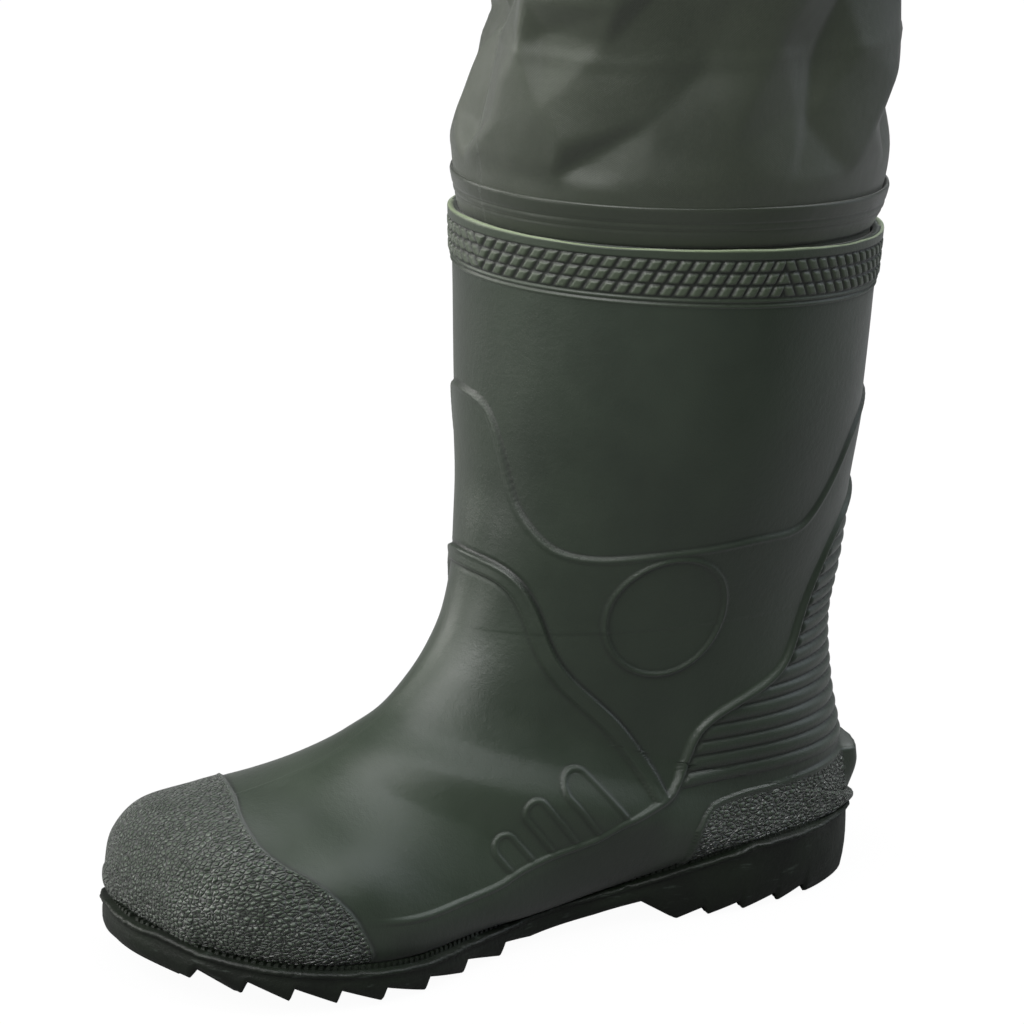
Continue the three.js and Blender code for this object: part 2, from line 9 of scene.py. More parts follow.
import bmesh
import bpy
import numpy as np
from mathutils import Matrix, Vector
from mathutils.geometry import delaunay_2d_cdt

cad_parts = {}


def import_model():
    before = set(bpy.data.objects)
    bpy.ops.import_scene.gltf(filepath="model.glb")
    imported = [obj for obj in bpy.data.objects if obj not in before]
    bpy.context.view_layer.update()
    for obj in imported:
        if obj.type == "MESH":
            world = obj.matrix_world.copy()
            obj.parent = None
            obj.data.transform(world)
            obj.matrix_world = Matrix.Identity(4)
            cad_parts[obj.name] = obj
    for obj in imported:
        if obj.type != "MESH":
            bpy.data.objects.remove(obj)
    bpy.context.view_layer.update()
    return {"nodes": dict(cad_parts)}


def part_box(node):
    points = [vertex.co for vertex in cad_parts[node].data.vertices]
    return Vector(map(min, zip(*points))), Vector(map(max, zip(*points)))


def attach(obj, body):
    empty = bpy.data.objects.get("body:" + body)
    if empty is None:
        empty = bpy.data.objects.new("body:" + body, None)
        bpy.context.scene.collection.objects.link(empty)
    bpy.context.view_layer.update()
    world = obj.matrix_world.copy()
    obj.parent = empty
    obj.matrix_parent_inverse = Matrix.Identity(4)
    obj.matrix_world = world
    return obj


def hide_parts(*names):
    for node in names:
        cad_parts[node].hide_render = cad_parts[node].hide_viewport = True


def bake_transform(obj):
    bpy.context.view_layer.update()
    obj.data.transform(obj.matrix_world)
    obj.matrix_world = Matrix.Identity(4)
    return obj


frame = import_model()
MM = 0.001
SIDES = ("right", "left")


def box(node):
    """A CAD node's lowest and highest corner in millimetres."""
    low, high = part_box(node)
    return np.array(low) / MM, np.array(high) / MM


# ---- where things are ---------------------------------------------------------------
TURN = math.radians(30)
TOE_WAY = np.array([-math.sin(TURN), -math.cos(TURN)])
INNER_WAY = np.array([math.cos(TURN), -math.sin(TURN)])
SHAFT_X = 91
tape_low, tape_high = box("right_boot_joint_tape")
SHAFT = (tape_low + tape_high)[:2] / 2
HEEL = SHAFT - SHAFT_X * TOE_WAY
MID_Y = SHAFT[1]


def boot_to_world(points):
    """Points of the boot's own frame, on the right of the garment."""
    flat = HEEL + points[..., :1] * TOE_WAY + points[..., 1:2] * INNER_WAY
    return np.concatenate([flat, points[..., 2:3]], axis=-1)


# ---- small tools ----------------------------------------------------------------------
def smooth(x, low=0.0, high=1.0):
    t = np.clip((x - low) / (high - low), 0, 1)
    return t * t * (3 - 2 * t)


def unit(v):
    return v / np.maximum(np.linalg.norm(v, axis=-1, keepdims=True), 1e-12)


def step_lengths(line):
    """The distances between a line's neighbouring points."""
    return np.linalg.norm(np.diff(line, axis=0), axis=1)


def run_along(line):
    """The distance along a line to each of its points."""
    return np.concatenate([[0], np.cumsum(step_lengths(line))])


def read(line, at, known=0, wanted=2):
    """One column of a list of points, where another column has the given values."""
    return np.interp(at, [p[known] for p in line], [p[wanted] for p in line])


def resample(points, count):
    """The same line with points at equal distances."""
    points = np.asarray(points, float)
    run = run_along(points)
    at = np.linspace(0, run[-1], count)
    return np.stack([np.interp(at, run, points[:, k]) for k in range(points.shape[1])], 1)


def curve(points, count, closed=False):
    """A smooth line through points, at equal distances."""
    p = np.asarray(points, float)
    if closed:
        p = np.vstack([p[-1], p, p[:2]])
    else:
        p = np.vstack([2 * p[0] - p[1], p, 2 * p[-1] - p[-2]])
    t = np.linspace(0, 1, 17)[:-1, None]
    parts = []
    for a, b, c, d in zip(p[:-3], p[1:-2], p[2:-1], p[3:]):
        parts.append(
            0.5 * (2 * b + (c - a) * t + (2 * a - 5 * b + 4 * c - d) * t**2
                   + (3 * b - a - 3 * c + d) * t**3)
        )
    return resample(np.vstack(parts + [p[-2:-1]]), count)


def strip_faces(rows, cols, closed=True, start=0, flip=False):
    """Quads between rows of points."""
    r = np.arange(rows - 1)[:, None]
    c = np.arange(cols if closed else cols - 1)[None, :]
    a, b = r * cols + c, r * cols + (c + 1) % cols
    quads = np.stack([a, b, b + cols, a + cols], -1).reshape(-1, 4) + start
    return quads[:, ::-1] if flip else quads


def ring_quads(size, *corners):
    """Faces round rings; a corner is a ring's first point and a step along the ring."""
    i = np.arange(size)
    return np.stack([first + (i + step) % size for first, step in corners], -1)


def plate_faces(rows, cols, turned=False):
    """Front, back and rim of two grids of points that form a plate."""
    back = rows * cols
    edge = np.array([r * cols for r in range(rows)][::-1] + list(range(1, cols))
                    + [r * cols + cols - 1 for r in range(1, rows)]
                    + [(rows - 1) * cols + c for c in range(cols - 2, 0, -1)])
    after = np.roll(edge, -1)
    faces = [strip_faces(rows, cols, closed=False),
             strip_faces(rows, cols, closed=False, start=back, flip=True),
             np.stack([edge, edge + back, after + back, after], -1)]
    return [f[:, ::-1] for f in faces] if turned else faces


def stacked(parts):
    """Small parts, each of points and quads, as one."""
    starts = np.cumsum([0] + [len(points) for points, _ in parts])
    return (np.vstack([points for points, _ in parts]),
            [np.vstack([quads + start for (_, quads), start in zip(parts, starts)])])


def weave_map(across, up):
    """Flat places on the cloth, for its weave."""
    across, up = np.broadcast_arrays(across, up)
    return np.stack([across, up, np.zeros(across.shape)], -1).reshape(-1, 3)


def grid_normals(points, closed=True):
    """Outward normals of rows of points, where across times down points outwards."""
    down = np.gradient(points, axis=0)
    if closed:
        across = np.roll(points, -1, 1) - np.roll(points, 1, 1)
    else:
        across = np.gradient(points, axis=1)
    return unit(np.cross(across, down))


def weld(obj, distance):
    """Joins points that lie on each other."""
    bm = bmesh.new()
    bm.from_mesh(obj.data)
    bmesh.ops.remove_doubles(bm, verts=bm.verts, dist=distance)
    bm.to_mesh(obj.data)
    bm.free()


def make(name, points, faces, material, body=None, slot=None, replaces=(), join=None,
         smooth_faces=True, **attributes):
    """A mesh object from points in millimetres and arrays of quads and triangles.

    The materials read the attribute "at", the place of each point before a piece is mirrored
    or turned into place.
    """
    points = np.asarray(points, float).reshape(-1, 3)
    attributes.setdefault("at", points * MM)
    mesh = bpy.data.meshes.new(name)
    mesh.vertices.add(len(points))
    mesh.vertices.foreach_set("co", (points * MM).astype(np.float32).ravel())
    faces = [np.asarray(f) for f in faces if len(f)]
    corners = np.concatenate([f.ravel() for f in faces])
    totals = np.concatenate([np.full(len(f), f.shape[1]) for f in faces])
    mesh.loops.add(len(corners))
    mesh.loops.foreach_set("vertex_index", corners.astype(np.int32))
    mesh.polygons.add(len(totals))
    starts = np.concatenate([[0], np.cumsum(totals)[:-1]])
    mesh.polygons.foreach_set("loop_start", starts.astype(np.int32))
    mesh.polygons.foreach_set("use_smooth", np.full(len(totals), smooth_faces))
    for key, values in attributes.items():
        values = np.asarray(values, np.float32)
        if values.shape[-1:] == (3,) and values.size == 3 * len(points):
            layer = mesh.attributes.new(key, "FLOAT_VECTOR", "POINT")
            layer.data.foreach_set("vector", values.ravel())
        else:
            layer = mesh.attributes.new(key, "FLOAT", "POINT")
            layer.data.foreach_set("value", values.ravel())
    mesh.update(calc_edges=True)
    mesh.validate()
    mesh.materials.append(material)
    obj = bpy.data.objects.new(name, mesh)
    bpy.context.scene.collection.objects.link(obj)
    if join:
        weld(obj, join)
    if body:
        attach(obj, body)
    if replaces:
        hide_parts(*replaces)
    return obj


def make_pair(name, points, faces, material, body=None, replaces=(), **settings):
    """The same piece on the right and mirrored on the left."""
    made = []
    settings.setdefault("at", np.asarray(points, float).reshape(-1, 3) * MM)
    for side in SIDES:
        p, f = np.array(points, float).reshape(-1, 3), faces
        if side == "left":
            p[:, 0] *= -1
            f = [np.asarray(x)[:, ::-1] for x in faces if len(x)]
        rides = f"{side}_{body}" if body and body != "torso" else body
        nodes = [f"{side}_{node}" for node in replaces]
        made.append(make(f"{side}_{name}", p, f, material, rides, replaces=nodes, **settings))
    return made


# ---- materials --------------------------------------------------------------------------
class Tree:
    """An empty shader tree, and short ways to fill it."""

    def __init__(self, owner):
        owner.use_nodes = True
        self.tree = owner.node_tree
        self.tree.nodes.clear()

    def add(self, kind, **settings):
        node = self.tree.nodes.new(kind)
        for key, value in settings.items():
            setattr(node, key, value)
        return node

    def link(self, a, b):
        self.tree.links.new(a, b)

    def feed(self, socket, value):
        if isinstance(value, bpy.types.NodeSocket):
            self.link(value, socket)
        else:
            socket.default_value = value

    def fed(self, kind, *values, **settings):
        """A node with its first inputs fed in order."""
        node = self.add(kind, **settings)
        for socket, value in zip(node.inputs, values):
            self.feed(socket, value)
        return node.outputs[0] if node.outputs else node


class Nodes(Tree):
    """The shader nodes that the materials use, under short names."""

    def __init__(self, name):
        self.material = bpy.data.materials.new(name)
        super().__init__(self.material)
        self.shader = self.add("ShaderNodeBsdfPrincipled")
        self.fed("ShaderNodeOutputMaterial", self.shader.outputs[0])

    def attribute(self, name, output="Vector"):
        return self.add("ShaderNodeAttribute", attribute_name=name).outputs[output]

    def axes(self, vector):
        node = self.add("ShaderNodeSeparateXYZ")
        self.link(vector, node.inputs[0])
        return node.outputs[0], node.outputs[1]

    def math(self, operation, *values):
        return self.fed("ShaderNodeMath", *values, operation=operation)

    def waves(self, value, pitch):
        return self.math("SINE", self.math("MULTIPLY", value, 2 * math.pi / pitch))

    def weigh(self, a, share_a, b, share_b):
        return self.math("ADD", self.math("MULTIPLY", a, share_a),
                         self.math("MULTIPLY", b, share_b))

    def uneven(self, vector, scale, detail, roughness, low, high):
        """A value that wanders between two limits."""
        return self.span(self.noise(vector, scale, detail, roughness), 0.3, 0.7, low, high)

    def stretch(self, vector, scale):
        node = self.add("ShaderNodeMapping")
        self.link(vector, node.inputs["Vector"])
        node.inputs["Scale"].default_value = scale
        return node.outputs[0]

    def noise(self, vector, scale, detail=3.0, roughness=0.5, distortion=0.0):
        node = self.add("ShaderNodeTexNoise")
        self.link(vector, node.inputs["Vector"])
        for key, value in (("Scale", scale), ("Detail", detail), ("Roughness", roughness),
                           ("Distortion", distortion)):
            node.inputs[key].default_value = value
        return node.outputs["Fac"]

    def cells(self, vector, scale, feature="F1", randomness=1.0):
        node = self.add("ShaderNodeTexVoronoi", feature=feature)
        self.link(vector, node.inputs["Vector"])
        node.inputs["Scale"].default_value = scale
        node.inputs["Randomness"].default_value = randomness
        return node.outputs["Distance"]

    def span(self, value, low, high, to_low=0.0, to_high=1.0):
        return self.fed("ShaderNodeMapRange", value, low, high, to_low, to_high)

    def mix(self, share, a, b):
        node = self.add("ShaderNodeMix", data_type="RGBA")
        self.feed(node.inputs["Factor"], share)
        self.feed(node.inputs[6], a)
        self.feed(node.inputs[7], b)
        return node.outputs[2]

    def bump(self, height, distance, strength=1.0, normal=None):
        node = self.add("ShaderNodeBump")
        node.inputs["Distance"].default_value = distance * MM
        self.feed(node.inputs["Strength"], strength)
        self.link(height, node.inputs["Height"])
        if normal:
            self.link(normal, node.inputs["Normal"])
        return node.outputs["Normal"]

    def set(self, **values):
        for key, value in values.items():
            self.feed(self.shader.inputs[key.replace("_", " ")], value)
        return self.material


def rgb(r, g, b):
    """A display colour from 0 to 255 as linear values."""
    def linear(c):
        c /= 255
        return c / 12.92 if c <= 0.04045 else ((c + 0.055) / 1.055) ** 2.4
    return (linear(r), linear(g), linear(b), 1.0)


def boot_rubber():
    n = Nodes("boot_rubber")
    at = n.attribute("at")
    pebble = n.attribute("pebble", "Fac")
    crease = n.attribute("crease", "Fac")
    wear = n.noise(at, 9, 5, 0.6)
    cloud = n.noise(at, 30, 3, 0.5)
    tone = n.weigh(wear, 0.6, cloud, 0.4)
    base = n.mix(n.span(tone, 0.35, 0.65), rgb(27, 37, 26), rgb(38, 49, 36))
    flow = n.stretch(at, (0.62, 1.0, 1.15))
    grain = n.cells(flow, 570)
    edge = n.cells(flow, 570, "DISTANCE_TO_EDGE")
    relief = n.math("SUBTRACT", n.math("MINIMUM", edge, 0.2), n.math("MULTIPLY", grain, 0.25))
    # painted highlight and painted shade on the pebbled grain: light cell tops, dark grooves
    # between the cells
    pebble_highlight_and_shade = n.mix(n.span(edge, 0.02, 0.14), rgb(12, 16, 12), rgb(50, 61, 48))
    rim = n.attribute("trim", "Fac")
    colour = n.mix(pebble, base, pebble_highlight_and_shade)
    # painted shade: the colour goes dark in grooves and creases and at the foot's shaded lowest
    # edge
    colour = n.mix(n.math("MULTIPLY", crease, 0.85), colour, rgb(12, 15, 12))
    n.set(Base_Color=n.mix(rim, colour, rgb(132, 146, 114)))
    fine = n.noise(at, 1500, 2, 0.6)
    orange = n.noise(at, 420, 2, 0.5)
    dimple = n.weigh(fine, 0.4, orange, 0.6)
    plain = n.bump(dimple, 0.16, n.math("SUBTRACT", 1.0, pebble))
    bumped = n.bump(relief, 4.8, pebble, plain)
    rough = n.uneven(at, 60, 4, 0.6, 0.40, 0.50)
    rough = n.math("ADD", rough, n.math("MULTIPLY", pebble, -0.13))
    n.set(Normal=bumped, Roughness=rough, Specular_IOR_Level=0.6)
    return n.set(Sheen_Weight=0.12, Sheen_Roughness=0.45)


def sole_rubber():
    n = Nodes("sole_rubber")
    at = n.attribute("at")
    tone = n.noise(at, 26, 5, 0.6)
    streak = n.noise(n.stretch(at, (1, 1, 6)), 90, 4, 0.6)
    base = n.mix(n.span(tone, 0.35, 0.65), rgb(9, 13, 8), rgb(19, 26, 17))
    n.set(Base_Color=n.mix(n.span(streak, 0.62, 0.8), base, rgb(58, 66, 60)))
    rough = n.uneven(at, 70, 3, 0.5, 0.38, 0.55)
    return n.set(Roughness=rough, Normal=n.bump(n.noise(at, 500, 4, 0.6), 0.25),
                 Specular_IOR_Level=0.32)


THREAD_PITCH = 0.62


def coated_cloth(name, dark, light, weave_depth=0.05):
    """Coated cloth: a close weave under a satin skin."""
    n = Nodes(name)
    at = n.attribute("at")
    across, up = n.axes(n.attribute("weave"))
    threads = n.math("MULTIPLY", n.waves(across, THREAD_PITCH), n.waves(up, THREAD_PITCH))
    cloud = n.noise(at, 7, 5, 0.6)
    speck = n.noise(at, 700, 2, 0.7)
    tone = n.weigh(cloud, 0.7, speck, 0.3)
    n.set(Base_Color=n.mix(n.span(tone, 0.3, 0.7), dark, light))
    skin = n.bump(n.noise(at, 240, 3, 0.6), 0.10)
    crinkle = n.bump(n.noise(at, 60, 3, 0.55, 0.4), 0.5, 0.5, skin)
    rough = n.uneven(at, 40, 4, 0.6, 0.29, 0.41)
    return n.set(Normal=n.bump(threads, weave_depth, 0.7, crinkle), Roughness=rough,
                 Specular_IOR_Level=0.5, Sheen_Weight=0.15, Sheen_Roughness=0.5)


def webbing_cloth():
    n = Nodes("webbing")
    along, across = n.axes(n.attribute("weave"))
    slant = n.math("PINGPONG", across, 5.0)
    ribs = n.waves(n.math("ADD", along, slant), 1.9)
    cords = n.waves(across, 1.25)
    height = n.weigh(ribs, 0.5, cords, 0.5)
    fuzz = n.noise(n.attribute("at"), 900, 3, 0.7)
    tone = n.math("ADD", n.span(height, -1, 1, 0, 0.7), n.math("MULTIPLY", fuzz, 0.3))
    n.set(Base_Color=n.mix(tone, rgb(16, 18, 16), rgb(48, 52, 46)))
    return n.set(Roughness=0.82, Normal=n.bump(height, 0.35), Sheen_Weight=0.3,
                 Sheen_Roughness=0.6, Specular_IOR_Level=0.35)


def moulded_plastic():
    n = Nodes("buckle_plastic")
    at = n.attribute("at")
    spark = n.cells(at, 1700)
    tone = n.noise(at, 60, 4, 0.6)
    n.set(Base_Color=n.mix(n.span(tone, 0.3, 0.7), rgb(20, 22, 21), rgb(32, 34, 32)))
    rough = n.uneven(at, 120, 3, 0.6, 0.34, 0.5)
    return n.set(Roughness=rough, Normal=n.bump(spark, 0.08), Specular_IOR_Level=0.5)


def pile(name, scale):
    """The hooked or looped face of a touch fastener."""
    n = Nodes(name)
    at = n.attribute("at")
    dots = n.cells(at, scale, randomness=0.6)
    fuzz = n.noise(at, scale * 2, 3, 0.7)
    n.set(Base_Color=n.mix(n.span(dots, 0.1, 0.6), rgb(46, 48, 42), rgb(18, 19, 17)))
    height = n.weigh(dots, -1.0, fuzz, 0.5)
    return n.set(Roughness=0.95, Normal=n.bump(height, 0.6), Sheen_Weight=0.4,
                 Sheen_Roughness=0.5)


def felt():
    n = Nodes("footbed")
    at = n.add("ShaderNodeTexCoord").outputs["Object"]
    fuzz = n.noise(at, 700, 4, 0.7)
    patch = n.noise(at, 40, 4, 0.6)
    tone = n.weigh(fuzz, 0.6, patch, 0.4)
    n.set(Base_Color=n.mix(n.span(tone, 0.3, 0.7), rgb(52, 55, 50), rgb(98, 100, 92)))
    return n.set(Roughness=0.95, Normal=n.bump(fuzz, 0.5), Sheen_Weight=0.3)


def thread():
    n = Nodes("thread")
    twist = n.noise(n.attribute("at"), 1400, 2, 0.5)
    n.set(Base_Color=n.mix(twist, rgb(44, 46, 38), rgb(80, 82, 68)))
    return n.set(Roughness=0.7, Normal=n.bump(twist, 0.1))


RUBBER = boot_rubber()
SOLE = sole_rubber()
CLOTH = coated_cloth("coated_cloth", rgb(42, 48, 39), rgb(58, 64, 52))
TAPE = coated_cloth("seam_tape", rgb(35, 41, 32), rgb(47, 53, 42), 0.02)
WEBBING = webbing_cloth()
PLASTIC = moulded_plastic()
HOOK_PILE = pile("fastener_hooks", 900)
LOOP_PILE = pile("fastener_loops", 1500)
FELT = felt()
THREAD = thread()

# ---- the boot: its plain surface ---------------------------------------------------------
# front x, front z, back x, back z, inner half width, outer half width, height share of the
# widest point, roundness above it, base width share, roundness below, y of the top line
BOOT_SECTIONS = np.array([
    [174, 265, 8, 262, 69, 69, 0.5, 2.0, 0, 2.0, 0],
    [172, 235, 9, 228, 67, 67, 0.5, 2.0, 0, 2.0, 0],
    [171, 200, 9, 190, 63, 63, 0.5, 2.0, 0, 2.0, 0],
    [170, 170, 10, 155, 57, 57, 0.5, 2.0, 0, 2.0, 0],
    [172, 150, 11, 125, 51, 51, 0.48, 2.0, 0, 2.0, 0],
    [174, 133, 15, 100, 47, 47, 0.45, 2.0, 0, 2.1, 0],
    [178, 118, 12, 75, 45, 45, 0.42, 2.0, 0, 2.2, 0],
    [185, 106, 6, 50, 44, 44, 0.38, 2.0, 0, 2.3, 0],
    [194, 96, 3, 27, 43, 43, 0.35, 2.0, 0, 2.5, 0],
    [206, 86, 22, 27, 44, 41, 0.32, 2.0, 0.78, 2.0, 0],
    [220, 79, 70, 26, 47, 43, 0.28, 2.0, 0.92, 2.0, 0],
    [234, 72, 125, 16, 42, 49, 0.25, 2.1, 0.82, 2.0, -1.5],
    [249, 66, 175, 12, 45, 58, 0.22, 2.2, 0.80, 2.0, -3],
    [265, 62, 222, 12, 49.5, 62.5, 0.22, 2.3, 0.94, 2.0, -4.5],
    [282.6, 59, 258.6, 15, 48, 60.5, 0.23, 2.4, 0.96, 2.0, -6],
    [295.4, 52, 282.5, 19, 39.3, 51, 0.24, 2.4, 0.96, 2.0, -6.5],
    [303.2, 41, 297.6, 22, 23, 36.6, 0.25, 2.4, 0.95, 2.0, -7],
], float)
BASE_SHARE = 8  # the column of the base width share
HEEL_ROW = 8  # below this row the rings stand on the sole
HALF_RING = 236  # quads on each side of a ring


def sections_at(u):
    """Rows of the table at places between its rows, without overshoot."""
    table = BOOT_SECTIONS
    step = np.diff(table, axis=0)
    slope = np.zeros_like(table)
    same = step[:-1] * step[1:] > 0
    total = np.where(same, step[:-1] + step[1:], 1)
    slope[1:-1] = np.where(same, 2 * step[:-1] * step[1:] / total, 0)
    slope[0], slope[-1] = step[0], step[-1]
    i = np.clip(np.floor(u).astype(int), 0, len(table) - 2)
    t = (u - i)[:, None]
    rows = (table[i] * (1 + 2 * t) * (1 - t) ** 2 + slope[i] * t * (1 - t) ** 2
            + table[i + 1] * t * t * (3 - 2 * t) - slope[i + 1] * t * t * (1 - t))
    heel = (u > HEEL_ROW) & (u < HEEL_ROW + 1)
    rows[heel, BASE_SHARE] = table[HEEL_ROW + 1, BASE_SHARE] * np.sqrt(u[heel] - HEEL_ROW)
    return rows


def toe_rows(count):
    """Rows that close the toe after the table's last row."""
    last = BOOT_SECTIONS[-1]
    turn = np.linspace(0, math.pi / 2, count + 1)[1:]
    s, k = np.sin(turn), np.cos(turn)
    rows = np.tile(last, (count, 1))
    rows[:, 0] += 2.9 * s
    rows[:, 1] -= 11 * (1 - k)
    rows[:, 2] += 7.0 * s
    rows[:, 3] += 2 * (1 - k)
    mid = last[10]
    rows[:, 4] = mid + (last[4] - mid) * k
    rows[:, 5] = -mid + (last[5] + mid) * k
    return rows


def ring_points(row, half, inwards=0.0):
    """One ring from the inner base over the top to the outer base."""
    front_x, front_z, back_x, back_z, inner, outer, crest, above, flat, below, mid = row
    turn = np.linspace(0, math.pi, 260)
    share = (1 - np.cos(turn)) / 2
    up = np.clip((share - crest) / (1 - crest), 0, 1)
    down = np.clip((crest - share) / crest, 0, 1)
    wide = np.where(share > crest, (1 - up**above) ** (1 / above),
                    flat + (1 - flat) * (1 - down**below) ** (1 / below))
    pull = inwards / math.hypot(front_x - back_x, front_z - back_z)
    along = pull + share * (1 - 2 * pull)
    x = back_x + (front_x - back_x) * along
    z = back_z + (front_z - back_z) * along
    sides = []
    for reach in (inner - mid - inwards, -(outer + mid - inwards)):
        sides.append(resample(np.stack([x, mid + wide * reach, z], 1), half + 1))
    return np.vstack([sides[0], sides[1][::-1][1:]])


RIM_HEIGHT = 265


def lean(angle, z):
    """How far the soft shaft's top dips, by the angle from the toe to the inner side."""
    return (5.5 * np.cos(angle - math.radians(40)) - 5) * smooth(z, 190, RIM_HEIGHT)


def leaned_boot(points):
    """Points in the boot's frame with the shaft's top dipped."""
    moved = points.copy()
    angle = np.arctan2(points[..., 1], points[..., 0] - SHAFT_X)
    moved[..., 2] += lean(angle, points[..., 2])
    return moved


def leaned(points):
    """The same for points in the world, on the right."""
    away = points[..., :2] - SHAFT
    moved = points.copy()
    moved[..., 2] += lean(np.arctan2(away @ INNER_WAY, away @ TOE_WAY), points[..., 2])
    return moved


def ring_places():
    """Table places of the rings, closer together where the ribs and the foot are."""
    u = np.linspace(0, len(BOOT_SECTIONS) - 1, 3201)
    rows = sections_at(u)
    front = np.hypot(*np.diff(rows[:, [0, 1]], axis=0).T) / 1.05
    back = np.hypot(*np.diff(rows[:, [2, 3]], axis=0).T)
    ribs = (rows[1:, 3] > 30) & (rows[1:, 3] < 156)
    back /= np.where(ribs, 0.8, 1.1)
    run = np.concatenate([[0], np.cumsum(np.maximum(front, back))])
    return np.interp(np.linspace(0, run[-1], int(run[-1])), run, u)


places = ring_places()
boot_rows = np.vstack([sections_at(places), toe_rows(9)])
SKIN = np.stack([ring_points(row, HALF_RING) for row in boot_rows])


def skin_normals():
    normals = grid_normals(SKIN, closed=False)
    joined = np.linalg.norm(SKIN[:, 0] - SKIN[:, -1], axis=1) < 1e-6
    mean = unit(normals[joined, 0] + normals[joined, -1])
    normals[joined, 0] = normals[joined, -1] = mean
    tip = unit(np.array([1.0, 0, -0.1]))
    normals[-3:] = unit(normals[-3:] * 0.2 + tip)
    return normals


SKIN_NORMALS = skin_normals()
flat_skin = SKIN.reshape(-1, 3)
flat_normals = SKIN_NORMALS.reshape(-1, 3)
probe = slice(None, None, 3)


class Line:
    """A line drawn on the boot, and how far the boot's points are from it."""

    def __init__(self, points, step=2.5):
        line = np.asarray(points, float)
        length = step_lengths(line).sum()
        line = curve(line, max(int(length / step), 4))
        near, out = flat_skin[probe], flat_normals[probe]
        snapped = []
        for p in line:
            k = np.argmin(((near - p) ** 2).sum(1))
            snapped.append(p - out[k] * np.dot(p - near[k], out[k]))
        snapped = np.array(snapped)
        for _ in range(2):
            snapped[1:-1] = (snapped[:-2] + 2 * snapped[1:-1] + snapped[2:]) / 4
        self.points = snapped

    def distance(self, reach=16.0):
        """Distances to the right of the line, seen from outside, and shares along it."""
        a, b = self.points[:-1], self.points[1:]
        low, high = self.points.min(0) - reach, self.points.max(0) + reach
        inside = np.all((flat_skin > low) & (flat_skin < high), axis=1)
        todo = np.flatnonzero(inside)
        signed = np.full(len(flat_skin), 1e3)
        share = np.zeros(len(flat_skin))
        way = b - a
        size = (way**2).sum(1)
        for part in np.array_split(todo, max(1, len(todo) // 8000)):
            p = flat_skin[part][:, None]
            t = np.clip(((p - a) * way).sum(2) / size, 0, 1)
            off = p - (a + t[..., None] * way)
            gap = (off**2).sum(2)
            k = gap.argmin(1)
            pick = (np.arange(len(part)), k)
            right = np.cross(way[k], flat_normals[part])
            side = np.sign((right * off[pick]).sum(1))
            signed[part] = np.sqrt(gap[pick]) * np.where(side == 0, 1, side)
            share[part] = (k + t[pick]) / len(a)
        shape = SKIN.shape[:2]
        return signed.reshape(shape), share.reshape(shape)


def bead(distance, half, height):
    """A round ridge, by the distance from its middle."""
    return height * np.clip(1 - (distance / half) ** 2, 0, 1) ** 1.3


# width of the outer side against the inner side along the foot
SIDE_X = [110, 145, 180, 212, 243, 271, 290, 302]
SIDE_RATIO = [0.96, 0.93, 1.17, 1.29, 1.25, 1.27, 1.3, 1.6]


def other_side(points):
    """The same line on the outer side of the foot."""
    p = np.array(points, float)
    p[:, 1] *= -np.interp(p[:, 0], SIDE_X, SIDE_RATIO, left=1.0)
    return [tuple(q) for q in p]


STEP_LINE = [(169, 11.5, 186), (167.7, 14.7, 176), (166.3, 17.6, 167), (164.9, 20, 162),
             (162.8, 23, 157.5), (159.6, 27, 152.5), (156, 30, 149.4), (150, 34.5, 147.3),
             (143.8, 38.3, 146.6), (136.6, 42, 146.8), (126, 46.5, 147.7), (116, 49.8, 148.3),
             (100, 53, 149), (83, 54, 150), (64, 52, 150), (56, 51, 155), (49, 50, 163),
             (44, 49, 170), (38, 47, 179), (31, 42, 186), (22, 33, 191), (13, 18, 193)]
TONGUE_TOP = [(159, -33, 186), (162, -30, 196), (167, -22, 200), (171, -8, 201),
              (171, 3, 199.3), (170.2, 7.6, 194.4)]
OUTER_STEP_START = [(156, -35, 174), (152, -38, 162), (147, -41, 154), (140, -45, 149)]
BAND_LINE = [(172, 8, 139), (168, 15, 137), (164, 20, 132), (161, 25, 122), (158, 27.5, 112),
             (155, 30, 105), (150, 32, 98), (142, 35, 90), (131, 38, 79), (119, 41, 63),
             (113, 45, 52)]
HEEL_LINE = [(14, 18, 154), (28, 35, 147), (33, 38, 143), (38, 40, 138), (43, 41, 130),
             (47, 42, 122), (50, 42, 113), (53, 42, 104), (56, 43, 97), (59, 43, 93),
             (67, 44, 88), (77, 45, 84), (87, 44, 80), (95, 43, 75), (98, 42, 70),
             (100, 42, 64), (103, 42, 57), (108, 44, 51)]
FOOT_LINE = [(115, 46, 49), (125, 47, 46), (133, 46, 44), (141, 45, 40), (156, 42, 37),
             (174, 42, 33), (183, 43, 30), (202, 46, 28), (218, 49, 27), (232, 51, 28),
             (248, 50, 30)]
TOE_CAP_LINE = [(241, 51, 12), (241, 51, 17), (245, 51, 24), (249, 50, 32), (254, 48, 38),
                (260, 44, 44), (265, 41, 48), (271, 36, 52), (275, 28, 55), (275, 20, 58),
                (272, 7, 62), (265, -7, 62), (255, -30, 60), (245, -46, 54), (236, -56, 45),
                (228, -62, 33), (223, -64, 22), (221, -64, 12)]
SEAM_LINE = [(265, -9, 62), (251, -6, 65), (240, -3, 69), (224, 1, 78), (206, 0, 86),
             (194, 0, 96)]
RIB_GROOVES = [154, 148, 142, 136, 130, 124, 118, 113, 108.5, 103, 98, 92.5, 86.5, 81.5,
               75.5, 69.5, 64, 58, 52.5]
DISC = (115, 122, 23)  # x, z and radius
LOOPS = [(148.5, 61, 5.7), (167, 54.5, 4.3), (179.3, 43, 4.5)]  # x, z and radius
LOOP_AXIS = np.array([0.64, 0.77])
PATCH_TOP = [(0, 50), (47, 48), (61, 47), (73, 47), (83, 46), (89, 45), (94, 41), (97, 36),
             (98, 28), (98.5, 20)]
SPUR = (30, 48, 27, 6.0)  # low, top, half width, reach


